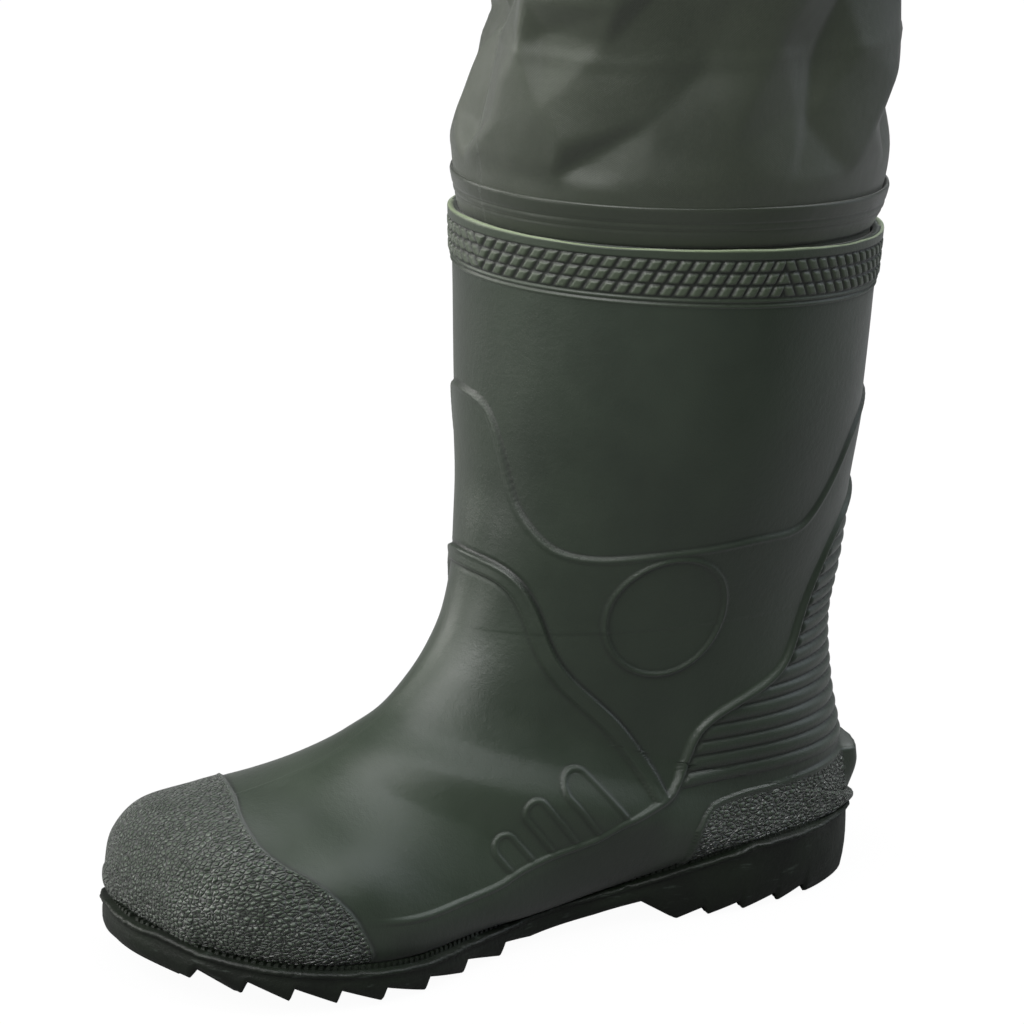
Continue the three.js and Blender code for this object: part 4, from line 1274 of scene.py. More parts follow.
def leg_cloth():
    """The leg below the middle of the thigh."""
    cols, angles = LEG_COLS, LEG_ANGLES
    heights = np.concatenate([np.arange(FABRIC_FOOT, 262, 4.0), np.arange(262, LEG_SEAM, 2.0),
                              [LEG_SEAM]])
    base = leg_rings(heights, angles)
    span = LEG_SEAM - heights[0]
    width = 520.0  # about the girth, and what the crease map is wide
    placed = [((a % 360) / 360 * width, z - heights[0], SHIN_DEPTH * d)
              for a, z, d in SHIN_CREASES]

    def by_hand(x, z):
        turn = (x / width * 360 + 120) % 360 - 120
        return z + heights[0] < 290 or (-105 < turn < 172 and z + heights[0] < 388)

    fold = creases(21, width, span, cols, 260, 50, 7.5, 1.15, placed, by_hand, 1.1)
    fold = np.stack([np.interp(heights - heights[0], np.linspace(0, span, 260), fold[:, c])
                     for c in range(cols)], 1)
    back = np.cos(angles[None] - math.pi)
    knee = np.exp(-(((heights[:, None] - 490) / 70) ** 2)) * smooth(back, 0.1, 0.9)
    fold += 3.2 * knee * np.sin((heights[:, None] + 8 * np.sin(3 * angles)) / 6.6)
    calm = smooth(heights, 281, 292)[:, None]
    seam = 1 - 0.8 * np.exp(-(((heights - LEG_SEAM) / 7) ** 2))[:, None]
    fold = fold * calm * seam
    above = heights[:, None] - lean(angles, RIM_HEIGHT)
    fold += rim_swell(above, angles)
    fold += 0.45 * np.exp(-(((heights[:, None] - 331) / 1.6) ** 2))
    outer = base + grid_normals(base) * fold[..., None]
    points, faces, picks = shell(outer, WALL_OF_CLOTH)
    made = make_pair("leg_cloth", points, faces, CLOTH, None, ("lower_leg", "knee_fabric"),
                     slot="coated_cloth", weave=weave_of(outer, picks))
    for piece, side in zip(made, SIDES):
        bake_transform(piece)


def hip_cloth():
    """From there to the crotch, where the round leg becomes half of the seat."""
    cols, angles = LEG_COLS, LEG_ANGLES
    heights = np.append(np.arange(LEG_SEAM + 0.4, CROTCH, 2.6), CROTCH)
    share = smooth(heights, HIP_LOW, CROTCH)[:, None, None]
    rounds = leg_rings(heights, angles)
    # the ring's outside becomes the torso's half outline and its inside a straight line
    inner_half = math.radians(60)
    _, wide, deep, square = TORSO_SECTIONS[0]
    half = []
    for turn in from_inner(angles):
        if abs(turn) <= inner_half:
            t = (turn + inner_half) / (2 * inner_half)
            half.append((0.0, -deep + 2 * deep * t))
        else:
            t = (abs(turn) - inner_half) / (math.pi - inner_half)
            theta = math.pi / 2 * (1 + t) if turn > 0 else -math.pi / 2 * (1 + t)
            c, s = math.cos(theta), math.sin(theta)
            half.append((math.copysign(wide * abs(c) ** (2 / square), c),
                         math.copysign(deep * abs(s) ** (2 / square), s)))
    half = np.array(half)
    halves = np.empty_like(rounds)
    halves[..., 0] = np.minimum(half[:, 0], -LEG_GAP)
    halves[..., 1] = half[:, 1] + MID_Y
    halves[..., 2] = rounds[..., 2]
    base = rounds * (1 - share) + halves * share
    width = 680.0  # about the girth of the thigh
    fold = creases(33, width, CROTCH - LEG_SEAM, cols, len(heights), 62, 9.0, 1.3, blur=2.2)
    edge = smooth(heights, LEG_SEAM, LEG_SEAM + 12) * smooth(CROTCH - heights, 0, 14)
    inside = smooth(np.abs(from_inner(angles)), 0.7, 1.4)
    fold = fold * (0.25 + 0.75 * edge[:, None])
    fold *= 1 - (1 - inside)[None] * smooth(heights, 700, CROTCH)[:, None]
    outer = base + grid_normals(base) * fold[..., None]
    outer[..., 0] = np.minimum(outer[..., 0], -LEG_GAP)
    points, faces, picks = shell(outer, WALL_OF_CLOTH)
    made = make_pair("hip_cloth", points, faces, CLOTH, None, ("hip_fabric", "thigh"),
                     slot="coated_cloth", weave=weave_of(outer, picks))
    for piece, side in zip(made, SIDES):
        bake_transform(piece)


def leg_bands():
    """The welded band over the seam of the two, and the one over the joint with the boot."""
    angles = LEG_ANGLES
    for name, low, high, off, body, nodes in (
            ("thigh_band", LEG_SEAM - 8, LEG_SEAM + 8, 1.2, "thigh_body", ()),
            ("boot_band", 264, 279.5, 0.5, "boot", ("boot_joint_tape",))):
        heights = np.linspace(low, high, 32)
        ring = leg_rings(heights, angles)
        lift = off * smooth(np.minimum(heights - low, high - heights), -0.4, 1.2)[:, None]
        if nodes:
            lift = lift + rim_swell(heights[:, None], angles)
            for z in (270.6, 273.4):
                lift = lift - bead(heights[:, None] - z, 0.8, 0.35)
        outer = ring + grid_normals(ring) * (0.3 + lift)[..., None]
        if nodes:
            outer = leaned(outer)
        points, faces, picks = shell(outer, 0.5 + off, every=8)
        make_pair(name, points, faces, TAPE, body, nodes, slot="seam_tape",
                  weave=weave_of(outer, picks))


leg_cloth()
hip_cloth()
leg_bands()

# ---- the torso --------------------------------------------------------------------------------
BIB_MID, BIB_RISE = 1270, 30


def bib_top(angle):
    """The height of the bib's edge, higher in front."""
    return BIB_MID - BIB_RISE * np.sin(angle)


def torso_rings(heights, angles, grow=0.0):
    """Heights are rows of values by angle."""
    shape = heights.shape
    rows = rows_at(TORSO_SECTIONS, heights.ravel()).reshape(*shape, 4)
    c, s = np.cos(angles), np.sin(angles)
    bend = 2 / rows[..., 3]
    x = (rows[..., 1] + grow) * np.sign(c) * np.abs(c) ** bend
    y = (rows[..., 2] + grow) * np.sign(s) * np.abs(s) ** bend
    return np.stack([x, y + MID_Y, heights], -1)


def even_angles(count):
    """Angles whose points on the torso are at equal distances."""
    fine = np.linspace(0, 2 * math.pi, 4001)
    ring = torso_rings(np.full((1, 4001), 1000.0), fine)[0]
    run = run_along(ring)
    return np.interp(np.linspace(0, run[-1], count, endpoint=False), run, fine), run[-1]


def stitch_points(line, out, length=3.0, gap=1.3, radius=0.42):
    """Small round-ended stitches along a line, as points and quads."""
    line = np.asarray(line, float)
    total = step_lengths(line).sum()
    count = max(2, int(total / (length + gap)))
    stops = resample(np.hstack([line, out]), count * 2 + 1)
    points, quads = [], []
    rings = ((-1.0, 0.35), (-0.7, 1.0), (0.7, 1.0), (1.0, 0.35))
    turn = np.arange(6) * math.pi / 3
    for k in range(1, 2 * count, 2):
        p, n = stops[k, :3], unit(stops[k, 3:])
        t = unit(stops[k + 1, :3] - stops[k - 1, :3])
        b = np.cross(t, n)
        first = len(points)
        for along, wide in rings:
            for a in turn:
                points.append(p + t * along * length / 2 + n * (0.05 + radius * wide
                              * math.sin(a)) + b * radius * wide * math.cos(a))
        for r in range(3):
            for i in range(6):
                j = (i + 1) % 6
                quads.append((first + r * 6 + i, first + r * 6 + 6 + i,
                              first + r * 6 + 6 + j, first + r * 6 + j))
        for ring, order in ((0, 1), (3, -1)):
            e = [first + ring * 6 + i for i in range(6)][::order]
            quads += [(e[0], e[1], e[2], e[3]), (e[0], e[3], e[4], e[5])]
    return np.array(points), np.array(quads)


def stitches(name, lines, body, slot="seam_tape", maker=make):
    """One piece for rows of stitches; each line comes with its outward directions."""
    points, quads = stacked([stitch_points(line, out) for line, out in lines])
    maker(name, points, quads, THREAD, body, slot=slot)


def facing(line, *way):
    """A line of stitches that all stand the same way."""
    return line, np.tile(np.array(way, float), (len(line), 1))


def on_torso(angle, z, off):
    """Points off the plain torso, and their outward directions."""
    angle, z = np.broadcast_arrays(np.asarray(angle, float), np.asarray(z, float))
    points = torso_rings(z[None], angle, 0.0)[0]
    near = torso_rings(z[None], angle + 1e-3, 0.0)[0]
    way = unit(near - points)
    out = unit(np.cross(way, np.array([0, 0, 1.0])))
    return points + out * off, out


def torso():
    """The seat and the bib in one cloth, with gathers at the waist."""
    cols = 330
    angles, around = even_angles(cols)
    top = bib_top(angles)
    share = np.linspace(0, 1, 132)[:, None]
    heights = CROTCH + 0.3 + (top - CROTCH - 0.3) * share
    base = torso_rings(heights, angles)
    span = BIB_MID - CROTCH
    x = np.arange(cols) * around / cols

    def at_angle(a):
        return np.interp(a, angles, x)

    fold = creases(57, around, span, cols, len(heights), 82, 15.0, 1.2, blur=2.0)
    # the pocket, the tabs and the patches lie on a calm bib
    front = smooth(-np.sin(angles), 0.6, 0.95)[None] * smooth(heights, 1010, 1085)
    behind = smooth(np.sin(angles), 0.6, 0.95)[None] * smooth(heights, 1120, 1160)
    under_hem = smooth(heights - (top - 62), 0, 30)
    calm = 1 - np.clip(front + behind + under_hem, 0, 1)
    edge = smooth(heights, CROTCH, CROTCH + 14)
    waist = np.exp(-(((heights - SEAT_TOP) / 9) ** 2))
    fold = fold * calm * (0.15 + 0.85 * edge) * (1 - 0.75 * waist)
    fold = np.minimum(fold, 0.6 + 15 * smooth(calm, 0.35, 1.0))
    # gathers hang from the waist seam
    long = 42 + 26 * np.sin(x / 23.0) * np.sin(x / 57.0)
    below = np.exp(-(((heights - SEAT_TOP) / long[None]) ** 2))
    wave = np.sin(x / around * 2 * math.pi * 41 + 2.6 * np.sin(x / 61))
    fold += 2.4 * below * wave[None] * (1 - waist) * (1 - front)
    # lapped seams at the waist and the sides
    fold += 0.9 * smooth(6.5 - np.abs(heights - SEAT_TOP), -0.6, 0.8)
    for a in (0, math.pi):
        gap = np.abs((x - at_angle(a) + around / 2) % around - around / 2)
        fold += 0.8 * smooth(5.5 - gap, -1.5, 1.5)[None] * (1 - under_hem)
    outer = base + grid_normals(base) * fold[..., None]
    points, faces, picks = shell(outer, WALL_OF_CLOTH, every=3)
    make("torso_cloth", points, faces, CLOTH, "torso", "coated_cloth", ("seat", "bib"),
         weave=weave_of(outer, picks))

    hem(angles, top, x)
    closed = np.append(angles, angles[:1] + 2 * math.pi)
    lines = [on_torso(closed, bib_top(closed) - drop, 2.25) for drop in (4.5, 24)]
    lines += [on_torso(closed, np.full(len(closed), SEAT_TOP + d), 1.0) for d in (-4, 4)]
    stitches("torso_stitching", lines, "torso")


def hem(angles, top, x):
    """The hem folded over the top edge."""
    ring = np.array([on_torso(angles, top - drop, off)[0] for off, drop in (
        (0.35, 27.8), (1.9, 28.0), (2.2, 27.0), (2.2, 14), (2.2, 3), (1.9, 0.9), (1.2, 0.0),
        (0.5, 0.0), (0.3, 1.0))])
    count, size = ring.shape[:2]
    last = (count - 1) * size
    hem_faces = [strip_faces(count, size),
                 ring_quads(size, (last, 0), (last, 1), (0, 1), (0, 0))]
    make("hem_band", ring, hem_faces, TAPE, "torso", "seam_tape", ("top_hem",),
         weave=weave_map(x, ring[..., 2]))


torso()

# ---- what is sewn on the bib --------------------------------------------------------------------
def bib_y(x, z, off, side=-1):
    """The y of the bib's front or back at a place and a distance off the cloth."""
    x, z = np.broadcast_arrays(np.asarray(x, float), np.asarray(z, float))
    rows = rows_at(TORSO_SECTIONS, z.ravel())
    share = np.abs(x.ravel()) / (rows[:, 1] + off)
    y = side * (rows[:, 2] + off) * (1 - share ** rows[:, 3]) ** (1 / rows[:, 3])
    return y.reshape(x.shape) + MID_Y


def plate(name, front, back, weave, material, body, slot, replaces, turned=False):
    """A piece of cloth with two faces and a rim, from two grids of points."""
    points = np.vstack([front.reshape(-1, 3), back.reshape(-1, 3)])
    make(name, points, plate_faces(*front.shape[:2], turned), material, body, slot, replaces,
         weave=np.vstack([weave, weave]))


def patch(name, sides, thickness, off, material, body, slot, side=-1, replaces=(),
          counts=(50, 54)):
    """A rectangle with rounded edges on the bib, from its sides in x and z."""
    x0, x1, z0, z1 = sides
    gx, gz = np.meshgrid(np.linspace(x0, x1, counts[0]), np.linspace(z0, z1, counts[1]))
    inside = np.minimum(np.minimum(gx - x0, x1 - gx), np.minimum(gz - z0, z1 - gz))
    rise = thickness * np.sqrt(np.clip(1 - (1 - np.clip(inside / 1.6, 0, 1)) ** 2, 0, 1))
    face = np.stack([gx, bib_y(gx, gz, 0, side) + side * (off + rise), gz], -1)
    back = np.stack([gx, bib_y(gx, gz, 0, side) + side * off * np.ones_like(gx), gz], -1)
    plate(name, face, back, weave_map(gx, gz), material, body, slot, replaces, side > 0)


POCKET = {"half": 75, "low": 1070, "high": 1210, "depth": 14}
FLAP = {"half": 77, "low": 1165, "top": 1222, "thickness": 2}
POCKET_EDGE, POCKET_WALL = 1.2, 2.4  # how thick the bag is at its edge, and its cloth
LOOP_FACE = POCKET["depth"] + 0.3
STRIPS = (-55, 55, 1172, 1192)
SEAM_BAND = (-77, 77, 1215, 1229)


def pocket_rise(edge):
    """How far the bag stands off the bib, by the distance from its edge."""
    return POCKET_EDGE + (POCKET["depth"] - POCKET_EDGE) * smooth(edge, 1, 17) ** 0.75


def pocket():
    """The chest pocket's bag and its stitching."""
    half, low, high, depth = (POCKET[k] for k in ("half", "low", "high", "depth"))
    xs = np.linspace(-half, half, 121)
    zs = np.linspace(low, high, 113)
    gx, gz = np.meshgrid(xs, zs)
    edge = np.minimum(half - np.abs(gx), gz - low)
    rng = np.random.default_rng(8)
    dents = sum(a * np.sin(gx / w + p) * np.sin(gz / v + q) for a, w, v, p, q in (
        (0.5, 23, 31, *rng.uniform(0, 6, 2)), (0.3, 11, 17, *rng.uniform(0, 6, 2))))
    out = pocket_rise(edge)
    out = out - (1.0 - dents * 0.6) * smooth(edge, 9, 30) * smooth(1166 - gz, 0, 20)
    top = smooth(gz, 1196, high)
    out = out + (depth - out) * top * smooth(half - np.abs(gx), 0, 16)
    face = np.stack([gx, bib_y(gx, gz, 0) - out, gz], -1)
    inner_x = gx * (half - POCKET_WALL) / half
    inner_z = np.maximum(gz, low + POCKET_WALL)
    inner = np.stack([inner_x, bib_y(inner_x, inner_z, 0)
                      - np.maximum(out - POCKET_WALL, POCKET_EDGE), inner_z], -1)
    plate("pocket_bag", face, inner, weave_map(gx, gz), CLOTH, "torso", "coated_cloth",
          ("chest_pocket",))
    lines = []
    for inset in (3.0, 6.5):
        x = np.concatenate([np.full(30, -half + inset),
                            np.linspace(-half + inset, half - inset, 60)[1:-1],
                            np.full(30, half - inset)])
        z = np.concatenate([np.linspace(high - 14, low + inset, 30), np.full(58, low + inset),
                            np.linspace(low + inset, high - 14, 30)])
        y = bib_y(x, z, 0) - pocket_rise(np.minimum(half - np.abs(x), z - low))
        lines.append(facing(np.stack([x, y, z], 1), 0, -1, 0))
    stitches("pocket_stitching", lines, "torso")


def flap_ripple(x):
    return 0.35 * np.sin(x / 19 + 1.2)


def strips_and_flap():
    """The touch fastener, the flap, and the band that holds the flap."""
    patch("loop_strip", STRIPS, 1.0, LOOP_FACE, LOOP_PILE, "torso", "hook_and_loop",
          replaces=("pocket_loop_strip",), counts=(60, 14))
    patch("hook_strip", STRIPS, 1.0, LOOP_FACE + 1.3, HOOK_PILE, "flap", "hook_and_loop",
          replaces=("flap_hook_strip",), counts=(60, 14))
    # the flap: over the top edge and down the front, with cut corners
    half, low, top, thick = (FLAP[k] for k in ("half", "low", "top", "thickness"))
    face_off = LOOP_FACE + 2.6
    xs = np.linspace(-half, half, 110)
    path = [(1.3, top - thick / 2), (5, top - 0.3), (10, top - 0.1), (face_off - 3, top - 0.4),
            (face_off - 0.6, top - 1.6), (face_off + 1, top - 5), (face_off + 1, low + 30),
            (face_off + 1, low)]
    line = resample(curve(path, 160), 60)
    along = run_along(line)
    way = unit(np.gradient(line, axis=0))
    normal = np.stack([-way[:, 1], way[:, 0]], 1)  # away from the pocket
    gx, gs = np.meshgrid(xs, along)
    cut = 14.0
    narrow = np.clip(gs - (along[-1] - cut), 0, None)
    gx = np.sign(gx) * np.minimum(np.abs(gx), half - narrow * 0.9)
    edge = np.minimum(half - narrow * 0.9 - np.abs(gx), along[-1] - gs)
    round_edge = np.sqrt(np.clip(1 - (1 - np.clip(edge / 1.0, 0, 1)) ** 2, 0, 1))
    ripple = flap_ripple(gx) * smooth(gs, 22, 60)
    halves = []
    for sign in (1, -1):
        off = line[:, :1] + sign * normal[:, :1] * thick / 2 * (0.3 + 0.7 * round_edge)
        off = off + ripple * (1 if sign > 0 else 0.3)
        z = line[:, 1:] + sign * normal[:, 1:] * thick / 2 * (0.3 + 0.7 * round_edge)
        halves.append(np.stack([gx, bib_y(gx, np.minimum(z, 1300), 0) - off, z], -1))
    plate("flap_cloth", *halves, weave_map(gx, gs), CLOTH, "flap", "coated_cloth",
          ("pocket_flap",), turned=True)
    inset = 4.0
    down = np.linspace(top - 9, low + cut + 1, 24)
    x = np.concatenate([np.full(24, -half + inset), [-half + inset + cut * 0.8],
                        np.linspace(-half + cut + 4, half - cut - 4, 50),
                        [half - inset - cut * 0.8], np.full(24, half - inset)])
    z = np.concatenate([down, [low + inset + 1.2], np.full(50, low + inset),
                        [low + inset + 1.2], down[::-1]])
    y = bib_y(x, z, 0) - (face_off + 1 + thick / 2 + flap_ripple(x) * smooth(top - z, 0, 40))
    stitches("flap_stitching", [facing(np.stack([x, y, z], 1), 0, -1, 0)], "flap")
    patch("flap_seam_band", SEAM_BAND, 1.2, 1.1, TAPE, "torso", "seam_tape",
          replaces=("flap_seam_strip",), counts=(90, 12))


pocket()
strips_and_flap()

# ---- straps and buckles ----------------------------------------------------------------------
STRAP_X, WEB_WIDTH, WEB_THICK = 100, 40, 2.0
STRAP_FOOT = np.array([-142.0, 1303.0])
STRAP_LEAN = math.radians(15)
STRAP_UP = np.array([math.sin(STRAP_LEAN), math.cos(STRAP_LEAN)])
STRAP_OUT = np.array([-math.cos(STRAP_LEAN), math.sin(STRAP_LEAN)])
SHOULDER_PATH = [(-88, 1458), (-40, 1483), (22, 1486), (76, 1462), (112, 1410), (133, 1340),
                 (145, 1265), (148, 1212), (147, 1160)]
STRAP_SPLIT, STRAIGHT_TO = 110, 130
TAB_OFF = 5.3  # the tab's middle, off the bib
PATCH_HALF, PATCH_SPAN = 28, (1148, 1209)
BOX_HALF = 16


def along_strap(s, out=0.0):
    """The y and z of a place on the strap's straight front."""
    return tuple(STRAP_FOOT + STRAP_UP * s + STRAP_OUT * out)


def sewn_box(x0, x1, low, high):
    """A closed line of stitches round a rectangle."""
    return [(x0, low), (x1, low), (x1, high), (x0, high), (x0, low)]


def web_section(width, thick, count=15):
    """A flat woven band's section: across and off, with full edges."""
    u = np.linspace(-1, 1, count)
    half = thick / 2 * np.clip((1 - np.abs(u) ** 10), 0, 1) ** 0.5
    half = half * (1 + 0.10 * np.exp(-(((np.abs(u) - 0.9) / 0.06) ** 2)))
    upper = np.stack([u * width / 2, half], 1)
    lower = np.stack([u[::-1] * width / 2, -half[::-1]], 1)[1:-1]
    return np.vstack([upper, lower])


def web_faces(rows, size):
    """The faces of a band: its skin and its two ends."""
    last = (rows - 1) * size
    ends = [(i, i + 1, size - 1 - i, (size - i) % size) for i in range(size // 2)]
    return [strip_faces(rows, size, flip=True), np.array(ends),
            np.array([[last + k for k in end[::-1]] for end in ends])]


def band_pair(name, path, body, replaces, x=-STRAP_X):
    """Webbing along points of y and z, at a place across."""
    line = np.asarray(path, float)
    count = max(4, int(step_lengths(line).sum() / 2.2))
    line = curve(line, count) if len(line) > 2 else resample(line, count)
    way = unit(np.gradient(line, axis=0))
    out = np.stack([-way[:, 1], way[:, 0]], 1)
    section = web_section(WEB_WIDTH, WEB_THICK)
    rings = []
    for k in range(len(line)):
        plan = line[k] + section[:, 1:] * out[k]
        rings.append(np.column_stack([x + section[:, 0], plan[:, 0] + MID_Y, plan[:, 1]]))
    return make_pair(name, np.array(rings), web_faces(len(rings), len(section)), WEBBING, body,
                     (replaces,), slot="webbing", join=1e-6,
                     weave=weave_map(run_along(line)[:, None], section[:, 0]))


def straps():
    """All the webbing, and the patches on the back."""
    # the tab sewn to the bib and folded round the bar of the tongue
    tab = [(float(bib_y(STRAP_X, z, TAB_OFF) - MID_Y), z)
           for z in (1237, 1250, 1265, 1280, 1290, 1300)]
    band_pair("front_tab_web", tab + [along_strap(4.5)], "torso", "front_tab")
    # the end of the strap that holds the socket, folded back and sewn
    band_pair("strap_end_web", [along_strap(48.5), along_strap(STRAP_SPLIT)], "strap_end",
              "strap_front")
    start = [along_strap(s) for s in (STRAP_SPLIT, STRAIGHT_TO - 6, STRAIGHT_TO)]
    webs = band_pair("shoulder_web", start + SHOULDER_PATH, None, "shoulder_strap")
    y, z = along_strap(STRAP_SPLIT)
    for piece, side in zip(webs, SIDES):
        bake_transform(piece)
    # the cross strap between the shoulder straps
    height, width, y = 1330, 30, 134
    reach = STRAP_X - WEB_WIDTH / 2 - 0.6
    section = web_section(width, WEB_THICK)
    xs = np.linspace(-reach, reach, 70)
    droop = 0.8 * (1 - (xs / reach) ** 2)
    rings = np.array([np.column_stack([np.full(len(section), x), y + MID_Y + section[:, 1] + d,
                                       height + section[:, 0] - d])
                      for x, d in zip(xs, droop)])
    make("cross_web", rings, web_faces(*rings.shape[:2]), WEBBING, "torso", "webbing",
         ("back_cross_strap",), join=1e-6, weave=weave_map(xs[:, None], section[:, 0]))

    # patches that hold the straps' ends on the back
    for side, middle in zip(SIDES, (-STRAP_X, STRAP_X)):
        x0, x1, z0, z1 = middle - PATCH_HALF, middle + PATCH_HALF, *PATCH_SPAN
        patch(f"{side}_back_patch_cloth", (x0, x1, z0, z1), 1.4, 1.1, TAPE, "torso",
              "coated_cloth", side=1, replaces=(f"{side}_back_patch",))
        lines = []
        for inset in (3.5, 7.5):
            box_line = sewn_box(x0 + inset, x1 - inset, z0 + inset, z1 - inset)
            if side == "left":
                box_line = [(x0 + x1 - x, z) for x, z in box_line]
            line = resample(box_line, 120)
            y = bib_y(line[:, 0], line[:, 1], 0, 1) + 2.45
            lines.append(facing(np.stack([line[:, 0], y, line[:, 1]], 1), 0, 1, 0))
        stitches(f"{side}_back_stitching", lines, "torso")


straps()


def refined(node, body, name, bevel):
    """A copy of a hard CAD part with rounded edges."""
    source = frame["nodes"][node]
    mesh = source.data.copy()
    mesh.materials.clear()
    mesh.materials.append(PLASTIC)
    obj = bpy.data.objects.new(name, mesh)
    bpy.context.scene.collection.objects.link(obj)
    weld(obj, 1e-6)
    bm = bmesh.new()
    bm.from_mesh(obj.data)
    bmesh.ops.dissolve_limit(bm, angle_limit=math.radians(2), verts=bm.verts, edges=bm.edges)
    edges = [e for e in bm.edges if e.is_manifold and e.calc_face_angle(0) > math.radians(25)]
    bmesh.ops.bevel(bm, geom=edges, offset=bevel * MM, segments=3, profile=0.5,
                    affect="EDGES", clamp_overlap=True)
    bmesh.ops.triangulate(bm, faces=[f for f in bm.faces if len(f.verts) > 4])
    bm.to_mesh(obj.data)
    bm.free()
    for polygon in obj.data.polygons:
        polygon.use_smooth = True
    obj.data.update()
    layer = obj.data.attributes.new("at", "FLOAT_VECTOR", "POINT")
    spots = np.zeros(len(obj.data.vertices) * 3, np.float32)
    obj.data.vertices.foreach_get("co", spots)
    layer.data.foreach_set("vector", spots)
    modifier = obj.modifiers.new("edges", "WEIGHTED_NORMAL")
    modifier.keep_sharp = True
    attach(obj, body)
    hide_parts(node)


def strap_block(width, s0, s1, off0, off1, bevel=0.35):
    """A small block across the strap, with cut edges, as points and quads."""
    half = width / 2
    points = []
    for off, shrink in ((off0, 0), (off0 + (off1 - off0) * 0.75, 0), (off1, bevel)):
        for u, s in ((-half, s0), (half, s0), (half, s1), (-half, s1)):
            du = -math.copysign(shrink, u)
            ds = shrink if s == s0 else -shrink
            y, z = along_strap(s + ds, off)
            points.append((u + du - STRAP_X, y + MID_Y, z))
    quads = [(3, 2, 1, 0), (8, 9, 10, 11)]
    for r in (0, 4):
        for i in range(4):
            j = (i + 1) % 4
            quads.append((r + i, r + j, r + 4 + j, r + 4 + i))
    return np.array(points), np.array(quads)


def buckles():
    """The moulded parts with rounded edges, and the ribs on their faces."""
    for side in SIDES:
        refined(f"{side}_buckle_tongue", "torso", f"{side}_tongue_moulding", 0.7)
        refined(f"{side}_buckle_socket", f"{side}_strap_end", f"{side}_socket_moulding", 1.1)
        refined(f"{side}_adjuster", f"{side}_adjuster_body", f"{side}_adjuster_moulding", 0.9)
    # grip ribs: name, body, width, length, places along the strap, low, high
    for name, body, width, length, places, low, high in (
            ("socket_ribs", "strap_end", 26, 1.6, (34, 37.2, 40.4, 43.6), 5.9, 6.9),
            ("adjuster_ribs", "adjuster_body", 40, 1.8, (70, 74, 78, 82), 3.9, 4.8)):
        points, quads = stacked([strap_block(width, s, s + length, low, high)
                                 for s in places])
        make_pair(name, points, quads, PLASTIC, body, slot="buckle_plastic",
                  smooth_faces=False)


buckles()


def strap_stitching():
    """Box stitching where webbing is sewn."""
    out = np.array([0, STRAP_OUT[0], STRAP_OUT[1]])
    line = []
    for u, s in sewn_box(-BOX_HALF, BOX_HALF, 49.3, 50.3):
        y, z = along_strap(s, WEB_THICK / 2)
        line.append((-STRAP_X + u, y + MID_Y, z))
    stitches("strap_end_box_stitching", [facing(resample(line, 90), *out)], "strap_end",
             "webbing", make_pair)

    def box_at(points):
        return resample([(-STRAP_X + u, 0, z) for u, z in points], 110)

    tab = box_at(sewn_box(-BOX_HALF, BOX_HALF, 1240, 1268) + [(BOX_HALF, 1268)])
    tab[:, 1] = bib_y(STRAP_X, tab[:, 2], TAB_OFF + WEB_THICK / 2)
    back = box_at(sewn_box(-BOX_HALF, BOX_HALF, 1152.5, 1204))
    path = curve([along_strap(STRAP_SPLIT), along_strap(STRAIGHT_TO), *SHOULDER_PATH], 400)
    tail = path[len(path) * 2 // 3:]
    back[:, 1] = np.interp(back[:, 2], tail[::-1, 1], tail[::-1, 0]) + MID_Y + WEB_THICK / 2
    back = back[back[:, 2] > 1161]
    stitches("torso_box_stitching", [facing(tab, 0, -1, 0), facing(back, 0, 1, 0)], "torso",
             "webbing", make_pair)


strap_stitching()

# ---- camera, light and floor --------------------------------------------------------------
def boot_point(x, y, z):
    return Vector(boot_to_world(np.array([[x, y, z]], float))[0] * MM)


VIEW_FROM = (183.95, 0, 145)  # the camera's line starts here, in the boot's frame
AIM = (161.8, 10.5, 158.5)
VIEW_AZIMUTH, VIEW_ELEVATION, DISTANCE = 24.2, 18.21, 2.0
ROLL, LENS = 0.05, 196.06


def camera():
    """The photographer's view of the boot."""
    azimuth, elevation = math.radians(VIEW_AZIMUTH), math.radians(VIEW_ELEVATION)
    way = Vector((math.sin(azimuth) * math.cos(elevation),
                  -math.cos(azimuth) * math.cos(elevation), math.sin(elevation)))
    place = boot_point(*VIEW_FROM) + way * DISTANCE
    back = (place - boot_point(*AIM)).normalized()
    right = Vector((0, 0, 1)).cross(back).normalized()
    up = back.cross(right)
    turned = right * math.cos(ROLL) + up * math.sin(ROLL)
    up = up * math.cos(ROLL) - right * math.sin(ROLL)
    data = bpy.data.cameras.new("camera")
    data.sensor_width, data.lens = 36, LENS
    data.clip_end = 50
    obj = bpy.data.objects.new("camera", data)
    turn = Matrix((turned, up, back)).transposed().to_4x4()
    obj.matrix_world = Matrix.Translation(place) @ turn
    bpy.context.scene.collection.objects.link(obj)
    bpy.context.scene.camera = obj


camera()


def lamp(name, place, target, width, height, power, colour):
    data = bpy.data.lights.new(name, "AREA")
    data.shape = "RECTANGLE"
    data.size, data.size_y, data.energy = width, height, power
    data.color = colour
    obj = bpy.data.objects.new(name, data)
    place, target = Vector(place), Vector(target)
    obj.matrix_world = (Matrix.Translation(place)
                        @ (place - target).to_track_quat("Z", "Y").to_matrix().to_4x4())
    bpy.context.scene.collection.objects.link(obj)


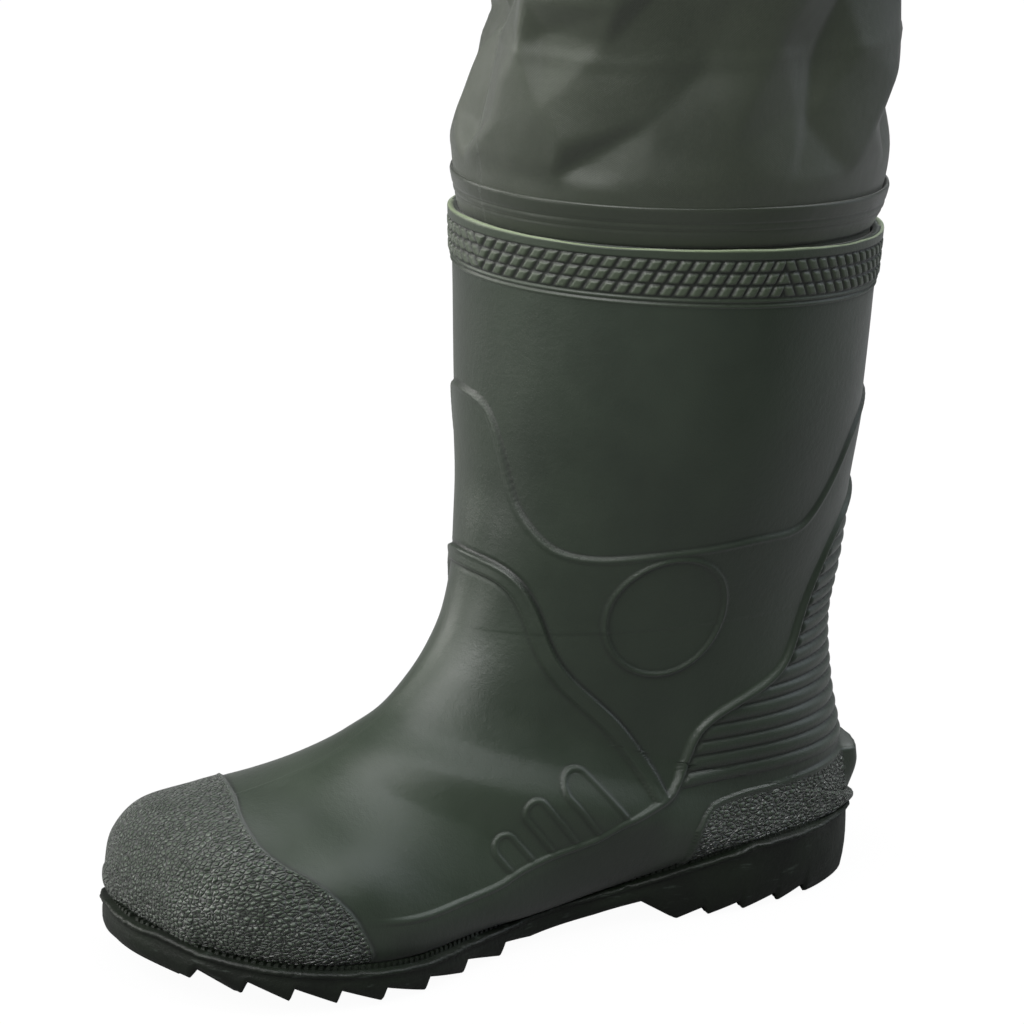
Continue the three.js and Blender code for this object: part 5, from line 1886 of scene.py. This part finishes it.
low_aim = boot_point(120, 0, 130)
lamp("left_strip", (-2.5, -0.35, 0.95), low_aim, 1.1, 2.0, 38, (1.0, 0.99, 0.96))
lamp("right_strip", (1.25, 1.35, 0.9), low_aim, 0.9, 1.4, 6, (0.80, 0.88, 1.0))
lamp("right_high", (1.1, 0.5, 2.9), low_aim, 2.8, 2.6, 130, (0.96, 0.98, 1.0))
lamp("front_left", (-1.2, -1.9, 2.1), low_aim, 2.4, 2.0, 56, (1.0, 1.0, 0.98))
lamp("front", (0.5, -2.8, 2.2), (-0.1, -0.1, 0.5), 2.4, 1.8, 78, (1.0, 1.0, 1.0))
lamp("low_left", (-1.7, -2.1, 0.35), (0, -0.2, 0.04), 1.1, 0.6, 15, (1.0, 1.0, 0.97))
lamp("top", (0.1, -0.4, 3.6), (0, 0, 0.9), 2.0, 2.0, 32, (1.0, 1.0, 1.0))
lamp("back", (-0.6, 2.6, 2.2), (0, 0, 0.9), 1.6, 1.6, 24, (0.95, 0.97, 1.0))


WHITE = (1, 1, 1, 1)


def world():
    """White where the camera sees it, and a weak cool light for the rest."""
    made = bpy.data.worlds.new("studio")
    t = Tree(made)
    path = t.add("ShaderNodeLightPath")
    seen = t.fed("ShaderNodeBackground", WHITE, 1.0)
    lit = t.fed("ShaderNodeBackground", (0.93, 0.96, 1.0, 1), 0.07)
    t.fed("ShaderNodeOutputWorld",
          t.fed("ShaderNodeMixShader", path.outputs["Is Camera Ray"], lit, seen))
    bpy.context.scene.world = made


world()


FLOOR_HEIGHT = -0.0004  # just under the soles


def floor():
    """A floor that glows for the camera, so that it is white with a soft shadow."""
    made = bpy.data.materials.new("floor")
    t = Tree(made)
    path = t.add("ShaderNodeLightPath")
    paint = t.fed("ShaderNodeBsdfDiffuse", (0.16, 0.16, 0.16, 1))
    both = t.fed("ShaderNodeMixShader", 0.8, paint, t.fed("ShaderNodeEmission", WHITE, 1.2))
    t.fed("ShaderNodeOutputMaterial",
          t.fed("ShaderNodeMixShader", path.outputs["Is Camera Ray"], paint, both))
    mesh = bpy.data.meshes.new("floor")
    mesh.from_pydata([(-30, -30, 0), (30, -30, 0), (30, 30, 0), (-30, 30, 0)], [],
                     [(0, 1, 2, 3)])
    mesh.materials.append(made)
    obj = bpy.data.objects.new("floor", mesh)
    obj.location.z = FLOOR_HEIGHT
    bpy.context.scene.collection.objects.link(obj)


floor()
bpy.context.scene.view_settings.view_transform = "Standard"
